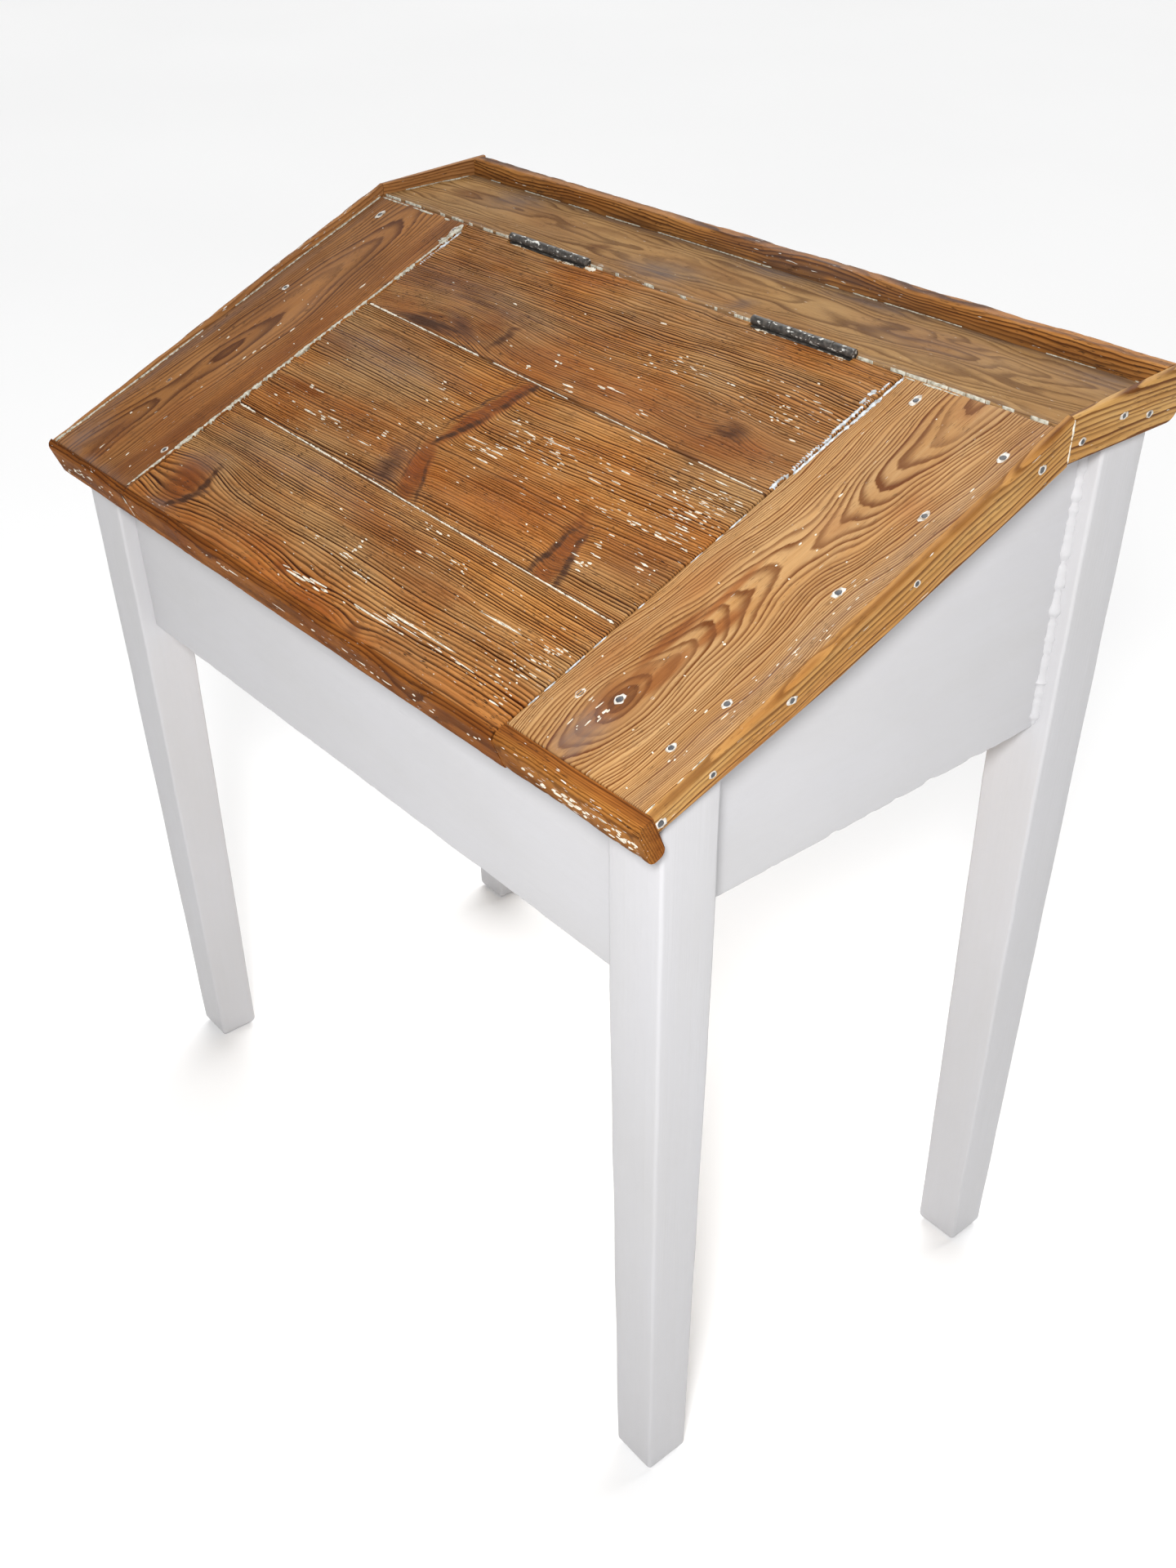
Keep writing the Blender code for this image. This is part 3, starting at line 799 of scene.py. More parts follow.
@dataclass(frozen=True)
class FlakeFinish(Finish):
    """Old paint and putty left in grooves, seams and round nails."""

    name: str
    colour: Colour
    stain: Colour

    def fill(self, g: Graph) -> None:
        """Add the nodes, mottled at the size of a flake.

        Args:
            g: The material's graph.
        """
        board = g.attribute("board").outputs["Vector"]
        mottle = g.ramp(g.noise(board, 4.0, 260.0), ((0.42, 0.0), (0.7, 1.0)))
        g.feed("Base Color", g.mix(mottle, self.colour, self.stain))
        g.feed("Roughness", g.plus(g.times(mottle, 0.2), 0.5))
        g.bump(g.noise(board, 3.0, 700.0), 0.0004, 0.6)


@dataclass(frozen=True)
class IronFinish(Finish):
    """Blackened iron with rust bloom and specks of old paint."""

    name: str
    colour: Colour
    rust: Colour
    paint: float = 0.0
    paint_from: float = 0.0

    def fill(self, g: Graph) -> None:
        """Add the nodes, with paint only above its height.

        Args:
            g: The material's graph.
        """
        place = g.add("ShaderNodeTexCoord").outputs["Object"]
        bloom = g.ramp(g.noise(place, 4.0, 300.0), ((0.45, 0.0), (0.7, 1.0)))
        colour = g.mix(g.times(bloom, 0.7), self.colour, self.rust)
        if self.paint:
            chips = g.noise(g.stretch(place, (150, 420, 420)), 3.0)
            edge = 0.66 - self.paint * 0.12
            flake = g.ramp(chips, ((edge, 0.0), (edge + 0.04, 1.0)))
            high = g.add("ShaderNodeSeparateXYZ")
            g.put(high.inputs[0], place)
            outside = g.ramp(high.outputs["Z"], ((self.paint_from, 0.0), (self.paint_from + 0.002, 1.0)))
            colour = g.mix(g.times(flake, outside), colour, (0.66, 0.66, 0.62))
        g.feed("Base Color", colour)
        g.feed("Roughness", g.plus(g.times(bloom, 0.3), 0.42))
        g.feed("Metallic", 0.35)
        g.bump(g.noise(place, 4.0, 900.0), 0.0003, 0.5)


HONEY = WoodFinish("honey_board_pine", (0.44, 0.26, 0.112), (0.13, 0.04, 0.006), (0.82, 0.7, 0.54))
TAWNY = WoodFinish(
    "tawny_board_pine", (0.32, 0.142, 0.042), (0.085, 0.025, 0.005), (0.7, 0.62, 0.52),
    contrast=0.85, fibre=0.3, specks=0.9, glow=0.5)
DULL = WoodFinish(
    "shelf_pine", (0.362, 0.214, 0.086), (0.105, 0.045, 0.014), (0.74, 0.66, 0.6),
    contrast=0.75, fibre=0.3, specks=0.7, shine=0.02)
BRUSHED = WoodFinish(
    "brushed_lid_pine", (0.424, 0.221, 0.078), (0.036, 0.01, 0.002), (0.76, 0.6, 0.45),
    contrast=1.08, fibre=0.4, specks=1.0, bump=0.0007, wobble=0.25, glow=0.45, shine=0.04, blush=0.75)
RAIL_WOOD = WoodFinish(
    "rail_pine", (0.42, 0.19, 0.052), (0.1, 0.036, 0.009), (0.72, 0.62, 0.54), fibre=0.3, specks=0.9)
STRIP_WOOD = WoodFinish(
    "strip_pine", (0.52, 0.302, 0.102), (0.13, 0.046, 0.008), (0.84, 0.72, 0.56), contrast=1.15, glow=0.05)
OLD_STRIP = WoodFinish(
    "old_strip_pine", (0.36, 0.17, 0.06), (0.12, 0.042, 0.012), (0.8, 0.7, 0.6), contrast=0.9)
NOSE_WOOD = WoodFinish(
    "nosing_pine", (0.395, 0.174, 0.042), (0.06, 0.017, 0.003), (0.66, 0.54, 0.44),
    contrast=1.1, fibre=0.35, specks=0.9, shine=0.01)
RAW = WoodFinish(
    "bare_pine", (0.6, 0.43, 0.25), (0.36, 0.22, 0.105), (0.88, 0.84, 0.78),
    contrast=0.8, fibre=0.2, specks=0.3, roughness=0.65)
PAINT = PaintFinish()
FLAKE = FlakeFinish("paint_flakes", (0.7, 0.65, 0.54), (0.46, 0.38, 0.27))
SEAM_PAINT = FlakeFinish("seam_paint", (0.55, 0.53, 0.44), (0.2, 0.165, 0.105))
BLUE_PAINT = FlakeFinish("seam_paint_blue", (0.56, 0.6, 0.63), (0.2, 0.2, 0.19))
PUTTY = FlakeFinish("nail_putty", (0.62, 0.59, 0.54), (0.28, 0.21, 0.14))
IRON = IronFinish("blackened_iron", (0.048, 0.044, 0.04), (0.165, 0.145, 0.125), 0.58, paint_from=0.8065)
NAIL = IronFinish("nail_iron_dull", (0.06, 0.062, 0.07), (0.15, 0.145, 0.14))


def dress(item: bpy.types.Object, finish: Finish, body: Body, slot: Slot, *nodes: str) -> None:
    """Give a piece its material, let it ride on its body, and let it stand for its solids.

    Args:
        item: The piece.
        finish: Its finish.
        body: The body that it moves with.
        slot: The record's slot of its finish; not used.
        nodes: The solids that it replaces.
    """
    item.data.materials.clear()
    item.data.materials.append(finish.material())
    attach(item, body.value)
    if nodes:
        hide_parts(*nodes)
    LOG.info("%s: %d faces, rides on %s", item.name, len(item.data.polygons), body.value)


def scraps(shell: Shell, name: str, finish: FlakeFinish, body: Body = Body.DESK) -> None:
    """Turn gathered paint or putty into a piece."""
    dress(shell.make(name, PAINT_SHARP), finish, body, Slot.PAINT)


@dataclass
class Setting:
    """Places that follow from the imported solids: the bend, the faces of the legs, the floor."""

    bend_y: float
    shelf_top: float
    front_y: float
    back_y: float
    rear_y: float
    rail_front_y: float
    slope_run: float
    long_run: float
    apron_bottom: float
    panel_bottom: float
    hinges: tuple[tuple[str, float, float], ...]

    @classmethod
    def read(cls) -> "Setting":
        """Return the places, read from the solids' boxes.

        Returns:
            The setting.
        """
        shelf_low, shelf_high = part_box("back_shelf")
        leg_low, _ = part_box("leg_front_left")
        _, rear_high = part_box("leg_rear_left")
        rail_low, rail_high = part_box("rear_rail")
        bend_y = shelf_low.y - SEAM
        fronts = [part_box("side_board_" + side.word)[0].y for side in (Side.RIGHT, Side.LEFT)]
        runs = [(bend_y - front) / math.cos(SLOPE) for front in fronts]
        hinges = []
        for side in Side:
            low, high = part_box("hinge_%s_pin" % side.word)
            hinges.append((side.word, low.x, high.x))
        return cls(
            bend_y=bend_y, shelf_top=shelf_high.z, front_y=leg_low.y, back_y=rear_high.y,
            rear_y=rail_high.y, rail_front_y=rail_low.y, slope_run=runs[0], long_run=runs[1],
            apron_bottom=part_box("front_apron")[0].z, panel_bottom=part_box("side_panel_left")[0].z,
            hinges=tuple(hinges))

    @property
    def down(self) -> Place:
        """The direction down the slope."""
        return (0.0, -math.cos(SLOPE), -math.sin(SLOPE))

    @property
    def out(self) -> Place:
        """The direction out of the slope's face."""
        return (0.0, -math.sin(SLOPE), math.cos(SLOPE))

    def slope_along_x(self) -> Lay:
        """Lay of a piece on the slope with its grain along X: v is the run, w the rise."""
        return Lay((0, self.bend_y, self.shelf_top), (1, 0, 0), self.down, self.out)

    def slope_down(self) -> Lay:
        """Lay of a piece on the slope with its grain down it: v is X, w the rise."""
        return Lay((0, self.bend_y, self.shelf_top), self.down, (1, 0, 0), self.out)

    def level(self) -> Lay:
        """Lay of the shelf's face: u is X, v runs back from the bend."""
        return Lay((0, self.bend_y, self.shelf_top), (1, 0, 0), (0, 1, 0), (0, 0, 1))

    def nose_lay(self) -> Lay:
        """Lay of the nosings' front face: u is X, v runs down the face.

        Returns:
            The lay, from the face's upper edge.
        """
        front = self.slope_run + GAP + NOSING_THICK
        origin = np.array((0, self.bend_y, self.shelf_top)) + np.array(self.down) * front
        return Lay(tuple(origin), (1, 0, 0), tuple(-x for x in self.out), self.down)

    def under_top(self, y: float) -> float:
        """Return the height just under the boards at y.

        Args:
            y: Place from front to back.

        Returns:
            The height.
        """
        if y > self.bend_y:
            return self.shelf_top - BOARD_THICK - GAP
        drop = (BOARD_THICK + GAP) / math.cos(SLOPE)
        return self.shelf_top + (y - self.bend_y) * math.tan(SLOPE) - drop

    def plumb_run(self, rise: Points, clear: float) -> Points:
        """Return the run of the plumb cut at the bend, at a rise from the slope's face."""
        return (clear - rise * math.sin(SLOPE)) / math.cos(SLOPE)

    def in_hinge(self, x: float, spare: float) -> bool:
        """Say whether x lies beside a hinge."""
        return any(low - spare < x < high + spare for _, low, high in self.hinges)

    def hinge_edges(self, spare: float) -> list[float]:
        """Return places just before and after each end of the hinge notches.

        Args:
            spare: Clearance at the hinges' ends.

        Returns:
            The places along X.
        """
        edges = []
        for _, low, high in self.hinges:
            for place in (low - spare, high + spare):
                edges += [place - NUDGE, place + NUDGE]
        return edges


XYZ = Lay((0, 0, 0), (1, 0, 0), (0, 1, 0), (0, 0, 1))
ALONG_Z = Lay((0, 0, 0), (0, 0, 1), (1, 0, 0), (0, 1, 0))
ALONG_X = Lay((0, 0, 0), (1, 0, 0), (0, 0, 1), (0, 1, 0))
ALONG_Y = Lay((0, 0, 0), (0, 1, 0), (0, 0, 1), (1, 0, 0))


def plain(seed: int) -> Grain:
    """Return a grain field without figure, for painted pieces."""
    return Grain(0.3, ((-1, 0.3), (1, 0.3)), 0.004, seed=seed)


@dataclass
class Base:
    """The painted base: four tapered legs, the apron, three panels and the beads of paint between them."""

    at: Setting
    edge: float = 0.0026
    wave: float = 0.00028
    bead: float = 0.0042

    def build(self) -> None:
        """Make and dress every painted piece."""
        for end in End:
            for side in Side:
                self.leg(end, side)
        self.cross("front_apron", self.at.front_y + RECESS, self.at.apron_bottom, 11)
        self.cross("back_panel", self.at.back_y - RECESS - PANEL_THICK, self.at.panel_bottom, 12)
        for index, side in enumerate(Side):
            self.side_panel(side, 21 + index)
            self.corner_beads(side, 31 + index)

    def painted(self, name: str, uvw: Points, flat: Points, lay: Lay, seed: int) -> None:
        """Turn the loft of a painted piece into the piece."""
        item = Shell.of(uvw, lay, plain(seed), flat).make(name + "_painted")
        dress(item, PAINT, Body.DESK, Slot.PAINT, name)

    def leg(self, end: End, side: Side) -> None:
        """Make one leg: square above the apron's bottom, tapered on its inner faces below it.

        Args:
            end: Front or rear.
            side: Left or right.
        """
        name = "leg_%s_%s" % (end.word, side.word)
        outer_y = self.at.front_y if end is End.FRONT else self.at.back_y
        knee = self.at.apron_bottom
        seed = 40 + side + end * 3

        def section(z: float) -> Points:
            """Outline at a height."""
            share = min(1.0, max(0.0, z / knee))
            wide = FOOT_X + (LEG_X - FOOT_X) * share
            deep = FOOT_Y + (LEG_Y - FOOT_Y) * share
            gone = max(0.0, FOOT_ROUND - z)
            inset = FOOT_ROUND - math.sqrt(max(0.0, FOOT_ROUND ** 2 - gone ** 2))
            xs = sorted((side * (HALF_SPAN - inset), side * (HALF_SPAN - wide + inset)))
            ys = sorted((outer_y + end * inset, outer_y + end * (deep - inset)))
            corners = [(xs[0], ys[0]), (xs[1], ys[0]), (xs[1], ys[1]), (xs[0], ys[1])]
            return outline(corners, [self.edge] * 4, [4] * 4)

        top = min(self.at.under_top(outer_y), self.at.under_top(outer_y + end * LEG_Y)) - 0.004
        foot = FOOT_ROUND * np.array((0.0, 0.06, 0.15, 0.3, 0.5, 0.75, 1.0))
        places = np.unique(np.concatenate([foot, np.linspace(FOOT_ROUND, top, 46), [knee]]))
        flat = loft(places, section)
        uvw = flat.copy()
        for axis, extra in ((1, 0), (2, 5)):
            rub = waves(flat[..., 0], flat[..., 1] + flat[..., 2], seed + extra, 0.11, 0.09)
            uvw[..., axis] += self.wave * np.clip(rub, -1.4, 1.4) * 0.6
        for index, y in enumerate(flat[-1, :, 2]):
            uvw[-1, index, 0] = self.at.under_top(float(y))
        self.painted(name, uvw, flat, ALONG_Z, seed)

    def cross(self, name: str, near: float, bottom: float, seed: int) -> None:
        """Make the apron or the back panel between two legs.

        Args:
            name: The solid that it replaces.
            near: Y of its front face.
            bottom: Height of its lower edge.
            seed: Seed of its wear.
        """
        half = HALF_SPAN - LEG_X - GAP
        far = near + PANEL_THICK
        tops = (self.at.under_top(near), self.at.under_top(far))

        def section(x: float) -> Points:
            """Outline at x."""
            nick = 0.0007 * wave(x, seed, 0.05)
            low = bottom + max(0.0, nick)
            corners = [(low, near), (low, far), (tops[1], far), (tops[0], near)]
            return outline(corners, [0.002, 0.002, 0.001, 0.001], [3, 10, 2, 12])

        flat = loft(stations(-half, half, 0.012), section)
        uvw = flat.copy()
        uvw[..., 2] += self.wave * waves(flat[..., 0], flat[..., 1], seed, 0.16, 0.1)
        self.painted(name, uvw, flat, ALONG_X, seed)

    def side_panel(self, side: Side, seed: int) -> None:
        """Make a side panel, with small nicks along its lower edge.

        Args:
            side: Left or right.
            seed: Seed of its wear.
        """
        name = "side_panel_" + side.word
        front = self.at.front_y + LEG_Y + GAP
        back = self.at.back_y - LEG_Y - GAP
        face = side * (HALF_SPAN - RECESS)
        inner = side * (HALF_SPAN - RECESS - PANEL_THICK)
        rng = np.random.default_rng(seed)
        nicks = [
            (rng.uniform(front, back), rng.uniform(0.002, 0.005), rng.uniform(0.0008, 0.0022))
            for _ in range(9)]

        def section(y: float) -> Points:
            """Outline at y."""
            low = self.at.panel_bottom
            low += max(0.0, 0.0006 * wave(y, seed, 0.04))
            for place, reach, depth in nicks:
                low += depth * math.exp(-((y - place) / reach) ** 2)
            top = self.at.under_top(y)
            corners = [(low, inner), (low, face), (top, face), (top, inner)]
            return outline(corners, [0.002, 0.0022, 0.001, 0.001], [3, 14, 2, 10])

        flat = loft(stations(front, back, 0.004, (self.at.bend_y,)), section)
        uvw = flat.copy()
        uvw[..., 2] += self.wave * waves(flat[..., 0], flat[..., 1], seed, 0.14, 0.1)
        self.painted(name, uvw, flat, ALONG_Y, seed)

    def corner_beads(self, side: Side, seed: int) -> None:
        """Make the lumpy beads of filler and paint where a side panel meets its legs.

        Args:
            side: Left or right.
            seed: Seed of the lumps.
        """
        face = side * (HALF_SPAN - RECESS)
        for end, y, size in (
                (End.FRONT, self.at.front_y + LEG_Y, 0.45), (End.REAR, self.at.back_y - LEG_Y, 1.0)):
            top = self.at.under_top(y) - 0.004
            places = stations(self.at.panel_bottom + 0.002, top, 0.0025)
            lump = waves(places, places * 0, seed + end, 0.02, 1.0)
            lump = 1 + 0.22 * lump + 0.16 * waves(places, places * 0, seed + 5 + end, 0.007, 1.0)
            ends = np.minimum(places - places[0], places[-1] - places)
            radius = self.bead * size * np.clip(lump, 0.45, 1.7) * np.clip(ends / 0.006, 0.12, 1)
            rows = []
            for z, r in zip(places, radius):
                arc = np.linspace(0, math.pi / 2, 6)
                xs = face + side * r * np.cos(arc) ** 1.4
                ys = y + end * r * np.sin(arc) ** 1.4
                curve = list(zip(xs, ys))
                curve.append((face - side * 0.001, y + end * r))
                curve.append((face - side * 0.001, y - end * 0.0006))
                curve.append((face + side * r, y - end * 0.0006))
                rows.append([(z, x, place) for x, place in curve])
            name = "paint_bead_%s_%s" % (end.word, side.word)
            item = Shell.of(np.array(rows), ALONG_Z, plain(seed)).make(name, BEAD_SHARP)
            dress(item, PAINT, Body.DESK, Slot.PAINT)


@dataclass
class Plank:
    """One board of the top or the floor, lofted along its grain with a finely divided face."""

    name: str
    lay: Lay
    grain: Grain
    low: float
    high: float
    left: Line
    right: Line
    face: float
    thick: float
    edge: float = 0.0014
    fine: int = 60
    step: float = 0.006
    extra: tuple[float, ...] = ()
    under_left: float = 0.0
    wave: float = 0.00025

    def build(self, shear: Callable[[Points], Points] | None = None) -> Shell:
        """Return the board's shell.

        Args:
            shear: Moves board coordinates, for an end that isn't cut square.

        Returns:
            A shell with the board in it.
        """

        def section(u: float) -> Points:
            """Outline at a place along the grain."""
            left = self.left(u)
            right = self.right(u)
            under = self.face - self.thick
            low_left = left + self.under_left
            corners = [(left, self.face), (right, self.face), (right, under), (low_left, under)]
            return outline(corners, [self.edge, self.edge, 0.0006, 0.0006], [self.fine, 2, 6, 2])

        flat = loft(stations(self.low, self.high, self.step, self.extra), section)
        uvw = flat.copy()
        on_face = np.clip(1 - np.abs(self.face - flat[..., 2]) / 0.0012, 0, 1) * np.sign(self.thick)
        near_end = np.minimum(flat[..., 0] - self.low, self.high - flat[..., 0])
        gone = np.clip(self.edge - near_end, 0, self.edge)
        arris = self.edge - np.sqrt(np.clip(self.edge * self.edge - gone * gone, 0, None))
        drop = self.grain.relief(flat) + arris
        worn = self.wave * (1 + waves(flat[..., 0], flat[..., 1], self.grain.seed + 9, 0.12, 0.05))
        uvw[..., 2] -= on_face * (drop + np.clip(worn, 0, None))
        if shear:
            uvw = shear(uvw)
            flat = shear(flat)
        return Shell.of(uvw, self.lay, self.grain, flat)


@dataclass(frozen=True)
class Spatter:
    """A cluster of paint flecks lying along the grain of a face."""

    along: float
    across: float
    spread_along: float
    spread_across: float
    count: int
    length: float = 0.0035
    width: float = 0.0009


@dataclass
class Flecks:
    """Scraps of old paint, each a thin raised flake with a ragged rim."""

    lay: Lay
    seed: int
    pitch: float = 0.0022
    shell: Shell = field(default_factory=Shell)

    def scatter(self, spatters: Iterable[Spatter], inside: Callable[[float, float], bool],
                face: float) -> None:
        """Strew the flakes of each cluster.

        Args:
            spatters: The clusters.
            inside: Says whether a place lies on the face.
            face: Height of the face.
        """
        rng = np.random.default_rng(self.seed)
        for spatter in spatters:
            for _ in range(spatter.count):
                u = spatter.along + rng.normal() * spatter.spread_along * 0.6
                lines = round(rng.normal() * spatter.spread_across * 0.6 / self.pitch)
                v = spatter.across + lines * self.pitch + rng.normal() * 0.0002
                length = spatter.length * min(3.2, 0.35 + rng.exponential(0.65))
                width = spatter.width * rng.uniform(0.5, 1.5)
                turn = rng.normal() * 0.1 * min(1.0, 0.003 / length)
                if inside(u - length / 2, v) and inside(u + length / 2, v):
                    self.flake(rng, u, v, length, width, turn, face)

    def flake(self, rng: np.random.Generator, u: float, v: float, length: float, width: float,
              turn: float, face: float) -> None:
        """Add one flake.

        Args:
            rng: Source of the draws.
            u: Its middle along the face.
            v: Its middle across it.
            length: Its length.
            width: Its width.
            turn: Its angle to the grain.
            face: Height of the face.
        """
        rim = 8
        thick = 0.00022
        angles = turns(rim)
        ragged = rng.uniform(0.6, 1.15, rim)
        du = np.cos(angles) * ragged * length / 2
        dv = np.sin(angles) * ragged * max(width, 0.0004) / 2
        u_at = u + du * math.cos(turn) - dv * math.sin(turn)
        v_at = v + du * math.sin(turn) + dv * math.cos(turn)
        rows = []
        for share, height in ((0.9, -0.0014), (1.0, thick * 0.2), (0.72, thick)):
            rows.append(np.column_stack([
                u + (u_at - u) * share, v + (v_at - v) * share, np.full(rim, face + height)]))
        self.shell.add(np.array(rows), self.lay, None)


@dataclass
class SeamPaint:
    """A broken line of paint or filler in a seam, between two points of a face."""

    lay: Lay
    seed: int
    shell: Shell = field(default_factory=Shell)

    def run(self, start: Sequence[float], end: Sequence[float], width: float, cover: float,
            face: float = 0.0, height: float = 0.0002, piece: float = 0.03) -> None:
        """Lay paint along a straight seam.

        Args:
            start: Along and across of one end.
            end: Along and across of the other end.
            width: Mean width of the line.
            cover: Share of the seam that is filled.
            face: Height of the face.
            height: How far the paint stands proud.
            piece: Mean length of an unbroken piece.
        """
        rng = np.random.default_rng(self.seed + int(abs(start[0]) * 1000) + int(abs(start[1]) * 3000))
        a = np.array(start, float)
        b = np.array(end, float)
        length = float(np.linalg.norm(b - a))
        way = (b - a) / length
        side = np.array((-way[1], way[0]))
        place = 0.0
        while place < length - 0.002:
            reach = min(length - place, piece * rng.uniform(0.3, 1.8))
            if rng.uniform() < cover and reach > 0.003:
                self.ribbon(rng, a + way * place, way, side, reach, width, face, height)
            place += reach + 0.0006

    def ribbon(self, rng: np.random.Generator, begin: Points, way: Points, side: Points, reach: float,
               width: float, face: float, height: float) -> None:
        """Add one unbroken piece of the line.

        Args:
            rng: Source of the draws.
            begin: Where it begins.
            way: Direction along the seam.
            side: Direction across it.
            reach: Its length.
            width: Its mean width.
            face: Height of the face.
            height: How far it stands proud.
        """
        count = max(6, int(reach / 0.0012))
        share = np.linspace(0, 1, count)
        taper = np.clip(np.minimum(share, 1 - share) * reach / 0.002, 0.15, 1)
        wide = width * rng.uniform(0.6, 1.3) * taper
        left = wide * rng.uniform(0.25, 0.8, count)
        right = wide * rng.uniform(0.25, 0.8, count)
        lift = height * rng.uniform(0.3, 1.2, count)
        rows = []
        for k in range(count):
            middle = begin + way * reach * share[k]
            points = []
            for offset, level in ((-left[k], -0.003), (-left[k], 0.0), (-left[k] * 0.4, lift[k]),
                                  (right[k] * 0.4, lift[k]), (right[k], 0.0), (right[k], -0.003)):
                place = middle + side * offset
                points.append((place[0], place[1], face + level))
            rows.append(points)
        self.shell.add(np.array(rows), self.lay, None)


@dataclass
class Nails:
    """Cut nails in a face: worn iron heads, each in a ring of putty and paint."""

    lay: Lay
    seed: int
    heads: Shell = field(default_factory=Shell)
    rings: Shell = field(default_factory=Shell)

    def drive(self, places: Iterable[Sequence[float]], face: float, radius: float = 0.0023) -> None:
        """Drive a nail at each place (along, across) of the face.

        Args:
            places: The nails' places.
            face: Height of the face.
            radius: Mean radius of a head.
        """
        rng = np.random.default_rng(self.seed)
        for u, v in places:
            size = radius * rng.uniform(0.85, 1.2)
            self.head(rng, u, v, size, face)
            self.ring(rng, u, v, size, face)

    def head(self, rng: np.random.Generator, u: float, v: float, size: float, face: float) -> None:
        """Add a slightly domed, uneven head on its shank.

        Args:
            rng: Source of the draws.
            u: Its middle along the face.
            v: Its middle across it.
            size: Its radius.
            face: Height of the face.
        """
        rim = 14
        angles = turns(rim)
        uneven = rng.uniform(0.85, 1.08, rim)
        rows = []
        for share, height in ((0.6, -0.006), (0.62, -0.0016), (1.0, -0.0012), (1.0, -0.0001),
                              (0.8, 0.00018), (0.35, 0.0001 + rng.uniform(0, 0.0002))):
            rows.append(np.column_stack([
                u + np.cos(angles) * uneven * size * share * 1.15,
                v + np.sin(angles) * uneven * size * share,
                np.full(rim, face + height)]))
        self.heads.add(np.array(rows), self.lay, None)

    def ring(self, rng: np.random.Generator, u: float, v: float, size: float, face: float) -> None:
        """Add the ragged ring of putty round a head, longer along the grain.

        Args:
            rng: Source of the draws.
            u: Its middle along the face.
            v: Its middle across it.
            size: Radius of the head.
            face: Height of the face.
        """
        rim = 18
        angles = turns(rim)
        pull = 1 + rng.uniform(0.2, 0.9) * np.abs(np.cos(angles)) ** 3
        reach = size * (1.06 + 0.42 * rng.uniform(0.1, 1.0, rim)) * pull
        inner = np.minimum(size * rng.uniform(0.86, 1.04, rim), reach * 0.93)
        rows = []
        for radius, height in ((reach, -0.0016), (reach, 0.00003), (inner * 0.5 + reach * 0.5, 0.00022),
                               (inner, 0.00012), (inner * 0.98, -0.0012)):
            rows.append(np.column_stack([
                u + np.cos(angles) * radius, v + np.sin(angles) * radius, np.full(rim, face + height)]))
        self.rings.add(np.array(rows), self.lay, None)


RIGHT_GRAIN = Grain(
    pith_across=0.311,
    pith_depths=((0.0, 0.017), (0.05, 0.024), (0.135, 0.0355), (0.165, 0.0375), (0.185, 0.037),
                 (0.22, 0.033), (0.26, 0.027), (0.3, 0.022), (0.316, 0.0205),
                 (0.34, 0.0225), (0.385, 0.033)),
    pith_shift=((0.0, 0.0), (0.14, -0.001), (0.19, -0.012), (0.23, -0.009), (0.3, -0.014), (0.385, -0.016)),
    period=0.0085, tighten=10.0, drift=0.0008, drift_along=0.12, drift_across=0.05, seed=5, groove=0.00018,
    patches=(
        Patch(0.316, 0.295, 0.026, 0.016, push=-0.009),
        Patch(0.316, 0.295, 0.01, 0.008, dark=0.85, red=1.0, smooth=1.0, crisp=2.0),
        Patch(0.318, 0.294, 0.024, 0.013, red=1.0, dark=0.42, smooth=0.6, crisp=2.0),
        Patch(0.347, 0.294, 0.017, 0.011, red=0.5, grey=0.65, dark=0.3, crisp=1.6),
        Patch(0.24, 0.3065, 0.022, 0.0048, turn=-0.05, red=1.0, dark=0.3, crisp=4.0),
        Patch(0.214, 0.2895, 0.03, 0.0036, turn=0.05, red=0.9, dark=0.1, crisp=3.5),
        Patch(0.262, 0.2855, 0.03, 0.0052, turn=-0.03, red=1.0, dark=0.3, crisp=3.5),
        Patch(0.285, 0.3035, 0.024, 0.0066, turn=0.05, red=1.0, dark=0.3, crisp=3.5),
        Patch(0.296, 0.293, 0.014, 0.009, red=0.9, dark=0.32, crisp=2.5),
        Patch(0.215, 0.266, 0.024, 0.009, red=0.55, crisp=1.4),
        Patch(0.295, 0.262, 0.028, 0.009, red=0.55, crisp=1.4),
        Patch(0.1, 0.341, 0.012, 0.009, red=0.55, crisp=1.4),
        Patch(0.01, 0.311, 0.012, 0.008, red=0.6, dark=0.12, crisp=1.4),
        Patch(0.135, 0.306, 0.014, 0.01, red=0.45, crisp=1.4),
        Patch(0.2, 0.364, 0.22, 0.006, paint=0.45, grey=0.22, crisp=1.3)))
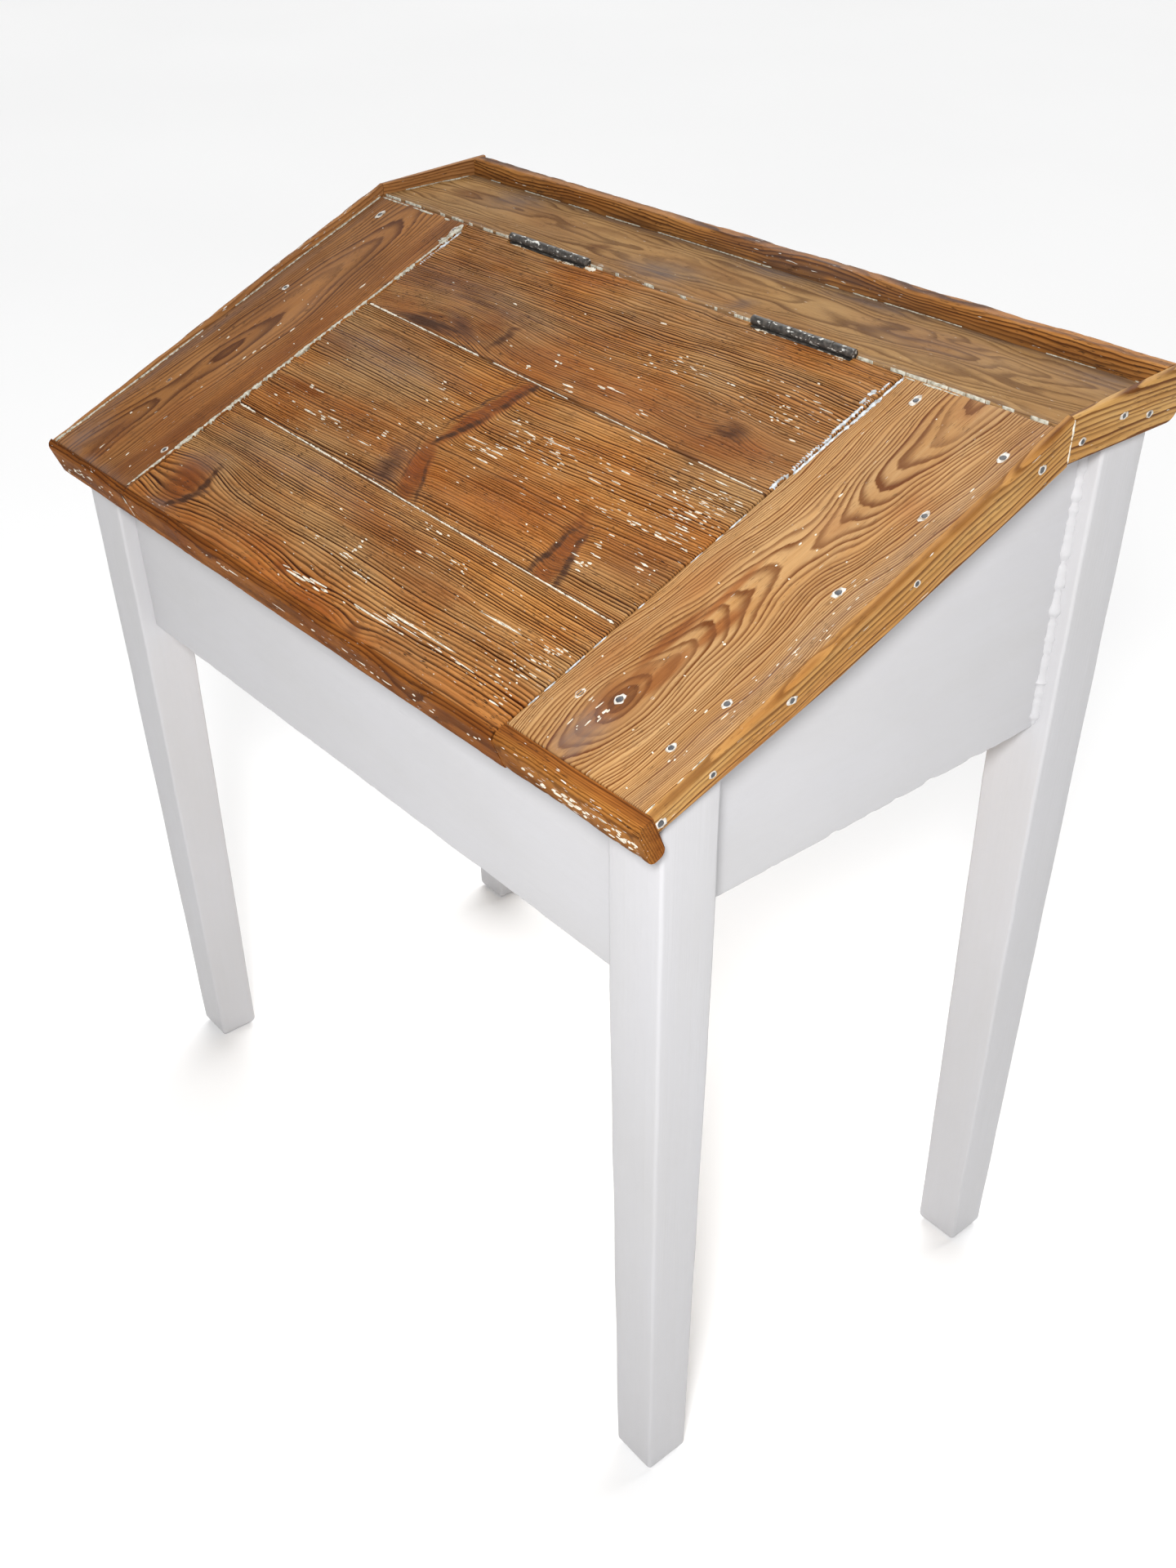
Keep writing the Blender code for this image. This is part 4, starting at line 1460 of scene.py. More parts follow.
LEFT_GRAIN = Grain(
    pith_across=-0.317,
    pith_depths=((-0.02, 0.043), (0.0, 0.041), (0.06, 0.035), (0.125, 0.028), (0.181, 0.0225),
                 (0.225, 0.0205), (0.262, 0.0225), (0.277, 0.0234), (0.289, 0.0225),
                 (0.317, 0.018), (0.385, 0.011)),
    pith_shift=((0.0, -0.002), (0.16, 0.001), (0.28, -0.008), (0.34, -0.014), (0.385, -0.016)),
    period=0.0125, tighten=6.5, drift=0.0011, drift_along=0.13, drift_across=0.06, seed=11, groove=0.00012,
    patches=(
        Patch(0.05, -0.262, 0.06, 0.012, dark=0.25, red=0.5),
        Patch(0.012, -0.251, 0.0045, 0.004, dark=0.95, crisp=2.0),
        Patch(0.094, -0.25, 0.004, 0.0035, dark=0.85, crisp=2.0),
        Patch(0.2, -0.262, 0.1, 0.012, dark=0.1, red=0.6),
        Patch(0.3, -0.285, 0.03, 0.016, red=0.55, dark=0.12),
        Patch(0.31, -0.262, 0.06, 0.014, dark=0.15, red=0.7),
        Patch(0.36, -0.27, 0.02, 0.01, dark=0.4, red=0.5),
        Patch(0.34, -0.322, 0.018, 0.012, dark=0.25, red=0.5, crisp=1.6),
        Patch(0.362, -0.318, 0.012, 0.009, dark=0.35, red=0.5, crisp=1.8),
        Patch(0.378, -0.31, 0.006, 0.06, grey=0.45, dark=0.15, crisp=1.2),
        Patch(0.36, -0.355, 0.02, 0.012, grey=0.5, crisp=1.2),
        Patch(0.2, -0.368, 0.18, 0.006, grey=0.4, dark=0.2),
        Patch(0.1, -0.33, 0.08, 0.018, grey=0.15),
        Patch(0.16, -0.3, 0.05, 0.012, grey=0.18)))
FIRST_SLANT = math.atan2(FIRST_JOINT[1] - FIRST_JOINT[0], 2 * LID_HALF)
SECOND_SLANT = math.atan2(SECOND_JOINT[1] - SECOND_JOINT[0], 2 * LID_HALF)
FIRST_EDGE = Patch(
    0.0, sum(FIRST_JOINT) / 2, 0.3, 0.0022, turn=FIRST_SLANT, dark=0.85, crisp=2.2)
SECOND_EDGE = Patch(
    0.0, sum(SECOND_JOINT) / 2, 0.3, 0.002, turn=SECOND_SLANT, dark=0.75, crisp=2.2)
REAR_GRAIN = Grain(
    pith_across=-0.1,
    pith_depths=((-0.25, 0.058), (-0.05, 0.066), (0.1, 0.07), (0.25, 0.062)),
    period=0.00205, drift=0.0022, drift_along=0.42, drift_across=0.2, seed=17, groove=0.00055, uneven=0.18,
    patches=(
        Patch(-0.15, 0.126, 0.08, 0.046, push=0.022),
        Patch(-0.152, 0.1125, 0.05, 0.0046, turn=-0.05, dark=1.35, grey=0.25, red=0.7, smooth=0.7,
              crisp=1.8),
        Patch(-0.128, 0.104, 0.022, 0.006, turn=0.35, dark=1.0, grey=0.2, red=0.8, smooth=0.6, crisp=1.4),
        Patch(-0.172, 0.105, 0.02, 0.004, turn=-0.25, dark=0.9, red=0.8, smooth=0.6, crisp=1.4),
        Patch(-0.16, 0.07, 0.08, 0.014, dark=0.42, grey=0.3, crisp=1.2),
        Patch(-0.079, 0.098, 0.005, 0.017, turn=0.15, dark=1.05, red=0.6, smooth=0.6, crisp=2.2),
        Patch(-0.1, 0.09, 0.016, 0.014, dark=0.3, red=0.6, crisp=1.4),
        Patch(-0.03, 0.106, 0.05, 0.02, red=0.75, dark=0.14, smooth=0.5, crisp=1.2),
        Patch(0.08, 0.108, 0.07, 0.018, red=0.75, dark=0.1, smooth=0.4),
        Patch(0.178, 0.099, 0.02, 0.011, push=0.006),
        Patch(0.178, 0.099, 0.014, 0.0075, dark=1.15, red=1.0, smooth=0.8, crisp=1.8),
        Patch(0.19, 0.108, 0.06, 0.022, red=0.9, dark=0.22, smooth=0.4),
        Patch(-0.2, 0.108, 0.05, 0.01, red=0.8, dark=0.2, smooth=0.4, crisp=1.2),
        Patch(-0.19, 0.04, 0.04, 0.03, dark=0.25, red=0.3),
        Patch(0.0, 0.01, 0.24, 0.01, dark=0.25, red=0.3),
        Patch(0.09, 0.066, 0.05, 0.01, paint=0.6),
        Patch(0.195, 0.066, 0.04, 0.016, paint=0.5),
        Patch(-0.05, 0.03, 0.2, 0.02, dark=0.12, crisp=0.9),
        FIRST_EDGE))
MIDDLE_GRAIN = Grain(
    pith_across=-0.06,
    pith_depths=((-0.25, 0.08), (-0.02, 0.072), (0.1, 0.078), (0.25, 0.084)),
    period=0.00215, drift=0.0013, drift_along=0.45, drift_across=0.18, seed=23, groove=0.0007, uneven=0.16,
    patches=(
        Patch(-0.017, 0.168, 0.046, 0.0095, turn=1.8, red=1.0, dark=0.48, smooth=0.95, push=0.004,
              crisp=5.0),
        Patch(-0.008, 0.146, 0.026, 0.004, turn=1.84, dark=1.15, smooth=0.9, crisp=2.4),
        Patch(-0.021, 0.192, 0.024, 0.004, turn=2.0, dark=1.25, smooth=0.9, crisp=2.6),
        Patch(-0.03, 0.166, 0.034, 0.0018, turn=1.86, dark=0.85, smooth=0.9, crisp=2.6),
        Patch(-0.016, 0.24, 0.036, 0.011, turn=1.0, red=1.0, dark=0.5, smooth=0.95, push=-0.004,
              crisp=4.5),
        Patch(-0.041, 0.246, 0.022, 0.012, turn=1.15, dark=0.95, grey=0.3, smooth=0.4, crisp=1.6),
        Patch(-0.004, 0.243, 0.028, 0.002, turn=0.92, dark=0.95, crisp=2.8),
        Patch(-0.03, 0.236, 0.03, 0.0016, turn=1.05, dark=0.85, crisp=2.6),
        Patch(0.16, 0.25, 0.034, 0.0115, turn=1.34, red=1.0, dark=0.55, smooth=0.95, push=-0.004,
              crisp=4.5),
        Patch(0.149, 0.246, 0.028, 0.0036, turn=1.52, dark=1.25, smooth=0.9, crisp=2.6),
        Patch(0.17, 0.248, 0.03, 0.0032, turn=1.14, dark=1.25, smooth=0.9, crisp=2.6),
        Patch(0.146, 0.222, 0.016, 0.007, turn=1.4, dark=0.45, red=0.8, crisp=1.8),
        Patch(0.06, 0.2135, 0.09, 0.0009, dark=0.65, crisp=2.0),
        Patch(-0.2, 0.219, 0.035, 0.005, red=0.9, dark=0.35, crisp=1.6),
        Patch(-0.12, 0.23, 0.1, 0.018, red=0.55, dark=0.1),
        Patch(0.07, 0.236, 0.1, 0.02, red=0.65),
        Patch(0.21, 0.225, 0.03, 0.012, red=0.7, dark=0.25, crisp=1.2),
        Patch(-0.17, 0.16, 0.06, 0.012, grey=0.35),
        Patch(-0.235, 0.168, 0.02, 0.008, dark=0.45, red=0.5),
        Patch(-0.18, 0.137, 0.03, 0.0022, dark=0.7, crisp=1.4),
        Patch(0.06, 0.178, 0.06, 0.016, paint=0.65),
        Patch(0.21, 0.17, 0.05, 0.026, paint=0.75),
        Patch(-0.15, 0.232, 0.06, 0.012, paint=0.5),
        FIRST_EDGE, SECOND_EDGE))
FRONT_GRAIN = Grain(
    pith_across=0.02,
    pith_depths=((-0.25, 0.095), (-0.02, 0.1), (0.1, 0.096), (0.25, 0.09)),
    period=0.000727, tighten=-3.8, drift=0.0013, drift_along=0.4, drift_across=0.16,
    seed=29, groove=0.00075, uneven=0.14,
    patches=(
        Patch(-0.2, 0.326, 0.045, 0.02, push=0.009),
        Patch(-0.2, 0.368, 0.045, 0.02, push=-0.009),
        Patch(-0.198, 0.344, 0.022, 0.028, turn=-0.3, red=1.0, dark=0.45, smooth=0.85, crisp=2.6),
        Patch(-0.205, 0.322, 0.02, 0.01, turn=-0.3, grey=0.35, dark=0.3, crisp=1.4),
        Patch(-0.179, 0.334, 0.018, 0.0036, turn=1.25, dark=1.3, smooth=0.9, crisp=2.6),
        Patch(-0.18, 0.358, 0.018, 0.004, turn=-0.9, dark=1.3, grey=0.2, smooth=0.9, crisp=2.6),
        Patch(-0.196, 0.374, 0.012, 0.005, dark=0.5, grey=0.5, paint=0.9, crisp=1.6),
        Patch(0.0, 0.366, 0.05, 0.016, push=-0.007),
        Patch(0.078, 0.374, 0.024, 0.012, push=-0.007),
        Patch(0.078, 0.372, 0.008, 0.005, dark=0.65, red=0.9, crisp=1.8),
        Patch(-0.03, 0.362, 0.01, 0.006, dark=0.55, red=0.8, crisp=1.8),
        Patch(0.0, 0.374, 0.22, 0.006, red=0.75, dark=0.18, smooth=0.6, crisp=1.3),
        Patch(-0.1, 0.354, 0.06, 0.014, red=0.6, dark=0.15),
        Patch(0.14, 0.368, 0.1, 0.01, red=0.55),
        Patch(0.09, 0.315, 0.03, 0.012, red=0.6, dark=0.2),
        Patch(0.02, 0.3, 0.05, 0.014, red=0.3, dark=0.22),
        Patch(-0.12, 0.285, 0.08, 0.01, grey=0.25),
        Patch(0.13, 0.35, 0.08, 0.012, paint=0.65),
        Patch(0.05, 0.29, 0.05, 0.012, paint=0.45),
        Patch(0.2, 0.32, 0.045, 0.02, paint=0.6),
        SECOND_EDGE))
SHELF_GRAIN = Grain(
    pith_across=0.056,
    pith_depths=((-0.4, 0.012), (-0.12, 0.02), (0.05, 0.029), (0.2, 0.036), (0.4, 0.046)),
    period=0.006, tighten=1.6, drift=0.0022, drift_along=0.14, drift_across=0.04,
    seed=37, groove=0.00008, uneven=0.2,
    patches=(
        Patch(0.025, 0.096, 0.03, 0.008, grey=0.85, dark=0.25),
        Patch(-0.035, 0.03, 0.022, 0.013, grey=0.85, dark=0.35),
        Patch(0.13, 0.095, 0.035, 0.008, grey=0.8, dark=0.2),
        Patch(-0.275, 0.08, 0.018, 0.02, grey=0.6, dark=0.3),
        Patch(0.345, 0.09, 0.03, 0.016, grey=0.55, crisp=0.9),
        Patch(0.22, 0.06, 0.05, 0.018, grey=0.35, red=0.3, crisp=0.9),
        Patch(-0.2, 0.05, 0.05, 0.02, red=0.45, dark=0.1, smooth=0.5, crisp=0.9),
        Patch(-0.117, 0.036, 0.007, 0.01, dark=0.6, red=0.6, crisp=1.6),
        Patch(-0.32, 0.058, 0.016, 0.01, dark=0.45, red=0.6, crisp=1.4),
        Patch(-0.02, 0.058, 0.06, 0.012, red=0.35),
        Patch(0.05, 0.015, 0.08, 0.01, red=0.5),
        Patch(0.068, 0.02, 0.006, 0.01, dark=0.6, grey=0.5, crisp=1.4),
        Patch(0.0, 0.1, 0.36, 0.006, grey=0.5, dark=0.25, crisp=1.2),
        Patch(0.0, 0.003, 0.37, 0.004, paint=0.7, grey=0.3, crisp=1.2)))


@dataclass
class Top:
    """The fixed part of the top: side boards, shelf, rail, strips and the outer nosings."""

    at: Setting

    def build(self) -> None:
        """Make and dress every fixed piece of the top."""
        self.side_board(Side.RIGHT, RIGHT_GRAIN, HONEY)
        self.side_board(Side.LEFT, LEFT_GRAIN, TAWNY)
        self.shelf()
        self.rail()
        for side in Side:
            self.slope_strip(side)
            self.shelf_strip(side)
            near, far = sorted((side * SIDE_INNER, side * STRIP_OUTER))
            nosing(self.at, "nosing_" + side.word, (near, far), self.run(side), 71 + side, Body.DESK)
        self.nails()
        self.seams()

    def run(self, side: Side) -> float:
        """Return the run of the side board on one side."""
        return self.at.slope_run if side is Side.RIGHT else self.at.long_run

    def side_board(self, side: Side, grain: Grain, finish: WoodFinish) -> None:
        """Make a side board, its upper end cut plumb at the bend.

        Args:
            side: Left or right.
            grain: Its ring field.
            finish: Its finish.
        """
        low, high = sorted((side * SIDE_INNER, side * HALF_SPAN))
        run = self.run(side)
        start = float(self.at.plumb_run(np.array(0.0), SEAM))

        def shear(uvw: Points) -> Points:
            """Slant the upper end."""
            out = uvw.copy()
            moved = self.at.plumb_run(uvw[..., 2], SEAM) - start
            out[..., 0] += moved * np.clip(1 - (uvw[..., 0] - start) / 0.05, 0, 1)
            return out

        plank = Plank(
            "side_board_" + side.word, self.at.slope_down(), grain, start, run,
            lambda u: low, lambda u: high, 0.0, BOARD_THICK, fine=190, step=0.0032)
        item = plank.build(shear).make(plank.name + "_grained")
        dress(item, finish, Body.DESK, Slot.HONEY, plank.name)

    def shelf(self) -> None:
        """Make the level shelf, notched for the hinge barrels."""
        far = self.at.rail_front_y - GAP - self.at.bend_y
        plank = Plank(
            "back_shelf", self.at.level(), SHELF_GRAIN, -HALF_SPAN, HALF_SPAN,
            lambda u: HINGE_NOTCH if self.at.in_hinge(u, GAP) else SEAM, lambda u: far, 0.0, BOARD_THICK,
            fine=90, step=0.0055, extra=tuple(self.at.hinge_edges(GAP)))
        item = plank.build().make("back_shelf_grained")
        dress(item, DULL, Body.DESK, Slot.HONEY, "back_shelf")

    def rail(self) -> None:
        """Make the rail behind the shelf, with a worn, wavy top edge."""
        foot = self.at.shelf_top
        grain = Grain(
            -0.05, ((-0.4, 0.05), (0.4, 0.06)), 0.003, drift=0.002, drift_along=0.2, seed=43,
            patches=(
                # Painted shade: a dark band along the rail's foot, in the corner where it meets the shelf,
                # darker still near the right end.
                Patch(-0.05, foot + 0.001, 0.34, 0.0035, dark=0.75, crisp=1.5),
                Patch(0.3, foot + 0.002, 0.05, 0.004, dark=0.8, crisp=1.5),
                Patch(0.05, foot + 0.006, 0.07, 0.006, dark=0.6, grey=0.5, paint=0.6, crisp=1.2)))
        low = foot - RAIL_BELOW
        high = foot + RAIL_ABOVE
        near = self.at.rail_front_y
        far = self.at.rear_y

        def section(x: float) -> Points:
            """Outline at x."""
            sag = 0.0004 * max(0.0, 1 + wave(x, 44, 0.12))
            sag += 0.0003 * max(0.0, wave(x, 45, 0.02))
            corners = [(low, near), (low, far), (high - sag, far), (high - sag, near)]
            return outline(corners, [0.001, 0.002, 0.0034, 0.0028], [3, 10, 4, 12])

        shell = Shell.of(loft(stations(-HALF_SPAN, HALF_SPAN, 0.004), section), ALONG_X, grain)
        dress(shell.make("rear_rail_grained"), RAIL_WOOD, Body.DESK, Slot.DARK, "rear_rail")

    def strip_grain(self, side: Side, seed: int, foot: float, worn: tuple[Patch, ...] = ()) -> Grain:
        """Return the wavy grain of a facing strip.

        Args:
            side: Left or right.
            seed: Seed of the grain.
            foot: Height of the pith below the strip.
            worn: Its worn places.

        Returns:
            The ring field, its pith inside the desk.
        """
        inside = side * (HALF_SPAN - 0.03)
        return Grain(
            foot, ((-1.0, inside), (1.0, inside)), 0.003, drift=0.0014, drift_along=0.2,
            drift_across=0.1, seed=seed, patches=worn)

    def strip_ring(self, side: Side, low: float, high: float) -> Points:
        """Return a facing strip's outline between two heights.

        Args:
            side: Left or right.
            low: Lower edge.
            high: Upper edge.

        Returns:
            The outline.
        """
        x_in = side * (HALF_SPAN + GAP)
        x_out = side * (STRIP_OUTER - STRIP_SKIN)
        corners = [(low, x_in), (low, x_out), (high, x_out), (high, x_in)]
        return outline(corners, [0.0008, 0.0016, 0.003, 0.0012], [3, 44, 8, 6])

    def strip(self, name: str, side: Side, shell: Shell) -> None:
        """Turn a facing strip's shell into the piece, older on the left."""
        finish = STRIP_WOOD if side is Side.RIGHT else OLD_STRIP
        dress(shell.make(name + "_grained"), finish, Body.DESK, Slot.ORANGE, name)

    def slope_strip(self, side: Side) -> None:
        """Make the facing strip down the slope: proud at the bend, flush at the front.

        Args:
            side: Left or right.
        """
        run = self.run(side)
        lay = Lay((0, self.at.bend_y, self.at.shelf_top), self.at.down, self.at.out, (1, 0, 0))
        seed = 51 + side

        def section(u: float) -> Points:
            """Outline at a place along the grain."""
            high = STRIP_PROUD * (1 - u / run)
            tail = max(0.0, u - (run - STRIP_TRIM)) / STRIP_TRIM
            low = -STRIP_DROP + (STRIP_DROP - STRIP_FRONT_DROP) * tail
            worn = 0.0005 * max(0.0, wave(u, seed, 0.05))
            return self.strip_ring(side, low, high - worn)

        flat = loft(stations(0.0, run, 0.004), section)
        moved = self.at.plumb_run(flat[..., 1], GAP)
        flat[..., 0] += moved * np.clip(1 - flat[..., 0] / 0.06, 0, 1)
        worn = (
            Patch(0.3, -0.018, 0.09, 0.006, red=0.6, crisp=1.2),
            Patch(0.06, -0.018, 0.09, 0.005, red=0.4, crisp=1.2),
            Patch(0.19, 0.005, 0.26, 0.005, turn=-0.021, red=0.5, dark=0.22, crisp=1.5))
        if side is Side.LEFT:
            worn = (Patch(0.12, 0.007, 0.1, 0.005, paint=1.0, grey=0.1, crisp=1.2),)
        grain = self.strip_grain(side, seed, -0.06, worn)
        self.strip("slope_strip_" + side.word, side, Shell.of(flat, lay, grain))

    def shelf_strip(self, side: Side) -> None:
        """Make the facing strip along the shelf's end, its rear lower corner rounded.

        Args:
            side: Left or right.
        """
        start = self.at.bend_y + GAP
        end = self.at.rear_y
        round_off = 0.011

        def section(y: float) -> Points:
            """Outline at y."""
            share = (y - start) / (end - start)
            high = self.at.shelf_top + STRIP_PROUD + STRIP_RISE * share
            gone = max(0.0, y - (end - round_off))
            low = self.at.shelf_top - STRIP_DROP + round_off
            low -= math.sqrt(max(0.0, round_off ** 2 - gone ** 2))
            return self.strip_ring(side, low, high)

        extra = tuple(end - round_off + round_off * math.sin(a) for a in np.linspace(0, 1.5, 7))
        grain = self.strip_grain(side, 61 + side, self.at.shelf_top - 0.06)
        shell = Shell.of(loft(stations(start, end, 0.004, extra), section), ALONG_Y, grain)
        self.strip("shelf_strip_" + side.word, side, shell)

    def side_lay(self, side: Side) -> Lay:
        """Lay of a facing strip's outer face: u is Y, v is Z."""
        return Lay((side * STRIP_OUTER, 0, 0), (0, 1, 0), (0, 0, 1), (side, 0, 0))

    def nails(self) -> None:
        """Make the nails seen in the side boards and the strips."""
        boards = {
            Side.RIGHT: ((0.039, 0.359), (0.103, 0.351), (0.18, 0.35), (0.283, 0.356), (0.326, 0.352),
                         (0.326, 0.269), (0.019, 0.271), (0.316, 0.295)),
            Side.LEFT: ((0.024, -0.35), (0.137, -0.348), (0.273, -0.341), (0.331, -0.256), (0.012, -0.252)),
        }
        for side, places in boards.items():
            nails = Nails(self.at.slope_down(), 81 + len(places))
            nails.drive(places, -0.0002)
            solids = ["side_board_nail_%s_%d" % (side.word, number) for number in range(1, 6)]
            dress(nails.heads.make("board_nails_" + side.word), NAIL, Body.DESK, Slot.NAIL, *solids)
            scraps(nails.rings, "board_nail_putty_" + side.word, PUTTY)
        front = self.at.front_y
        side_places = ((0.094, 0.708), (0.032, 0.683), (-0.008, 0.667), (0.196, 0.749), (0.304, 0.79),
                       (0.342, 0.798), (0.383, 0.804), (0.412, 0.798))
        for side in (Side.RIGHT, Side.LEFT):
            nails = Nails(self.side_lay(side), 91)
            nails.drive([(front + y, z) for y, z in side_places], -0.0004, 0.0021)
            dress(nails.heads.make("strip_nails_" + side.word), NAIL, Body.DESK, Slot.NAIL)
            scraps(nails.rings, "strip_nail_putty_" + side.word, PUTTY)

    def seams(self) -> None:
        """Make the paint and filler left in the fixed seams."""
        paint = SeamPaint(self.at.level(), 101)
        gaps = [place for _, low, high in self.at.hinges for place in (low, high)]
        edges = [-HALF_SPAN] + gaps + [HALF_SPAN]
        for low, high in zip(edges[0::2], edges[1::2]):
            paint.run((low + 0.002, SEAM), (high - 0.002, SEAM), 0.0011, 0.7, piece=0.01)
        beside = HINGE_NOTCH + 0.001
        for _, low, high in self.at.hinges:
            paint.run((low, beside), (high, beside), 0.0018, 0.55, height=0.0004, piece=0.009)
        foot = self.at.rail_front_y - self.at.bend_y - 0.0014
        end = HALF_SPAN - 0.004
        paint.run((-end, foot), (end, foot), 0.0011, 0.45, height=0.0003, piece=0.016)
        for side in Side:
            edge = side * (HALF_SPAN - 0.0012)
            paint.run((edge, 0.006), (edge, foot), 0.0014, 0.75, height=0.0003, piece=0.014)
        scraps(paint.shell, "shelf_seam_paint", SEAM_PAINT)
        down = SeamPaint(self.at.slope_down(), 103)
        beside = HALF_SPAN + 0.0004
        down.run((0.004, beside), (self.at.slope_run, beside), 0.0012, 0.3, height=0.0001, piece=0.01)
        down.run((0.004, -beside), (self.at.long_run, -beside), 0.003, 0.9, height=0.0003)
        scraps(down.shell, "strip_seam_paint", SEAM_PAINT)
        for side in Side:
            butt = SeamPaint(self.side_lay(side), 105)
            y = self.at.bend_y
            z = self.at.shelf_top
            butt.run((y, z - 0.021), (y, z + 0.0065), 0.0021, 1.0, face=-0.0005, height=0.0003, piece=0.013)
            scraps(butt.shell, "strip_butt_paint_" + side.word, FLAKE)


def nosing(at: Setting, name: str, ends: tuple[float, float], run: float, seed: int, body: Body) -> None:
    """Make a length of the rounded front nosing, worn and chipped.

    Args:
        at: The desk's places.
        name: Name of the solid that it replaces.
        ends: Its left and right end.
        run: The run of the board that it is fixed to.
        seed: Seed of its wear.
        body: The body that it rides on.
    """
    low, high = ends
    back = run + GAP
    front = at.slope_run + GAP + NOSING_THICK
    thick = front - back
    under = min(NOSING_ROUND, thick * 0.38)
    grain = Grain(
        run - 0.2, ((-0.4, 0.0), (0.4, 0.0)), 0.0017 if thick > 0.01 else 0.0026,
        drift=0.0005 if thick > 0.01 else 0.0007, drift_along=0.16, drift_across=0.05, seed=seed,
        patches=(
            # Painted shade: the top face next to the board is made darker and redder, so the top reads no
            # brighter than the front face.
            Patch(0.0, back + 0.002, 0.8, 0.007, dark=0.42, red=0.75, crisp=2.0),
            Patch(0.0, front + 0.0006, 0.8, 0.0026, dark=0.3, red=0.3, crisp=2.2),
            Patch(0.33, front, 0.06, 0.004, paint=0.9),
            Patch(0.1, front, 0.12, 0.004, paint=0.45),
            Patch(-0.31, front, 0.07, 0.004, paint=0.4)))

    def section(x: float) -> Points:
        """Outline at x."""
        worn = 0.0004 * max(0.0, 1 + wave(x, seed, 0.09))
        worn += 0.0003 * max(0.0, wave(x, seed + 2, 0.015))
        worn *= thick / NOSING_THICK
        face = front - worn
        corners = [(back, 0.0), (back, -NOSING_HEIGHT), (face, -NOSING_HEIGHT), (face, -worn * 0.5)]
        radii = [0.0006, under, under, min(NOSING_ROUND + 0.0004, thick - 0.0005 - worn) + worn]
        return outline(corners, radii, [4, 4, 40, 22])

    shell = Shell.of(loft(stations(low, high, 0.004), section), at.slope_along_x(), grain)
    dress(shell.make(name + "_grained"), NOSE_WOOD, body, Slot.ORANGE, name)


LID_SPATTERS = tuple(Spatter(*row) for row in (
    (0.09, 0.065, 0.03, 0.006, 9, 0.007, 0.0011),
    (0.195, 0.062, 0.02, 0.01, 9, 0.006, 0.0011),
    (-0.012, 0.098, 0.006, 0.006, 4, 0.006, 0.0017),
    (0.055, 0.104, 0.012, 0.003, 3, 0.008, 0.0014),
    (0.025, 0.119, 0.004, 0.003, 3, 0.005, 0.002),
    (-0.064, 0.1, 0.006, 0.003, 2, 0.007, 0.0019),
    (-0.03, 0.114, 0.005, 0.003, 2, 0.006, 0.0019),
    (0.1, 0.114, 0.01, 0.003, 3, 0.005, 0.0011),
    (-0.155, 0.233, 0.04, 0.006, 13, 0.012, 0.0014),
    (-0.19, 0.216, 0.008, 0.003, 3, 0.006, 0.0014),
    (-0.055, 0.172, 0.022, 0.007, 8, 0.008, 0.001),
    (0.015, 0.2, 0.022, 0.006, 12, 0.009, 0.0012),
    (0.05, 0.176, 0.04, 0.012, 18, 0.008, 0.0009),
    (0.145, 0.199, 0.025, 0.003, 7, 0.01, 0.001),
    (0.212, 0.165, 0.025, 0.018, 26, 0.008, 0.0009),
    (0.21, 0.2, 0.03, 0.003, 9, 0.009, 0.0011),
    (0.176, 0.23, 0.006, 0.014, 9, 0.008, 0.001),
    (0.181, 0.246, 0.005, 0.006, 6, 0.006, 0.0017),
    (0.222, 0.226, 0.006, 0.01, 6, 0.005, 0.0014),
    (0.01, 0.325, 0.007, 0.009, 9, 0.006, 0.0017),
    (0.005, 0.36, 0.022, 0.003, 9, 0.014, 0.0017),
    (0.038, 0.336, 0.01, 0.003, 5, 0.008, 0.0014),
    (0.13, 0.352, 0.055, 0.006, 18, 0.017, 0.0012),
    (0.182, 0.312, 0.02, 0.002, 4, 0.016, 0.0012),
    (0.222, 0.31, 0.012, 0.008, 12, 0.006, 0.0011),
    (0.055, 0.276, 0.015, 0.004, 6, 0.006, 0.0011),
    (0.06, 0.297, 0.01, 0.003, 3, 0.009, 0.0016),
    (-0.078, 0.23, 0.003, 0.014, 8, 0.003, 0.0011),
    (0.222, 0.345, 0.012, 0.022, 14, 0.004, 0.0009),
    (0.098, 0.29, 0.02, 0.004, 6, 0.006, 0.0009),
    (0.04, 0.07, 0.2, 0.06, 26, 0.0026, 0.001),
    (0.06, 0.2, 0.2, 0.07, 60, 0.003, 0.001),
    (0.06, 0.32, 0.2, 0.06, 60, 0.003, 0.001),
    (0.212, 0.165, 0.03, 0.03, 40, 0.006, 0.0008),
    (0.22, 0.33, 0.02, 0.04, 36, 0.004, 0.0008),
    (0.1, 0.18, 0.06, 0.03, 36, 0.006, 0.0008),
    (0.19, 0.062, 0.03, 0.03, 24, 0.005, 0.0008)))


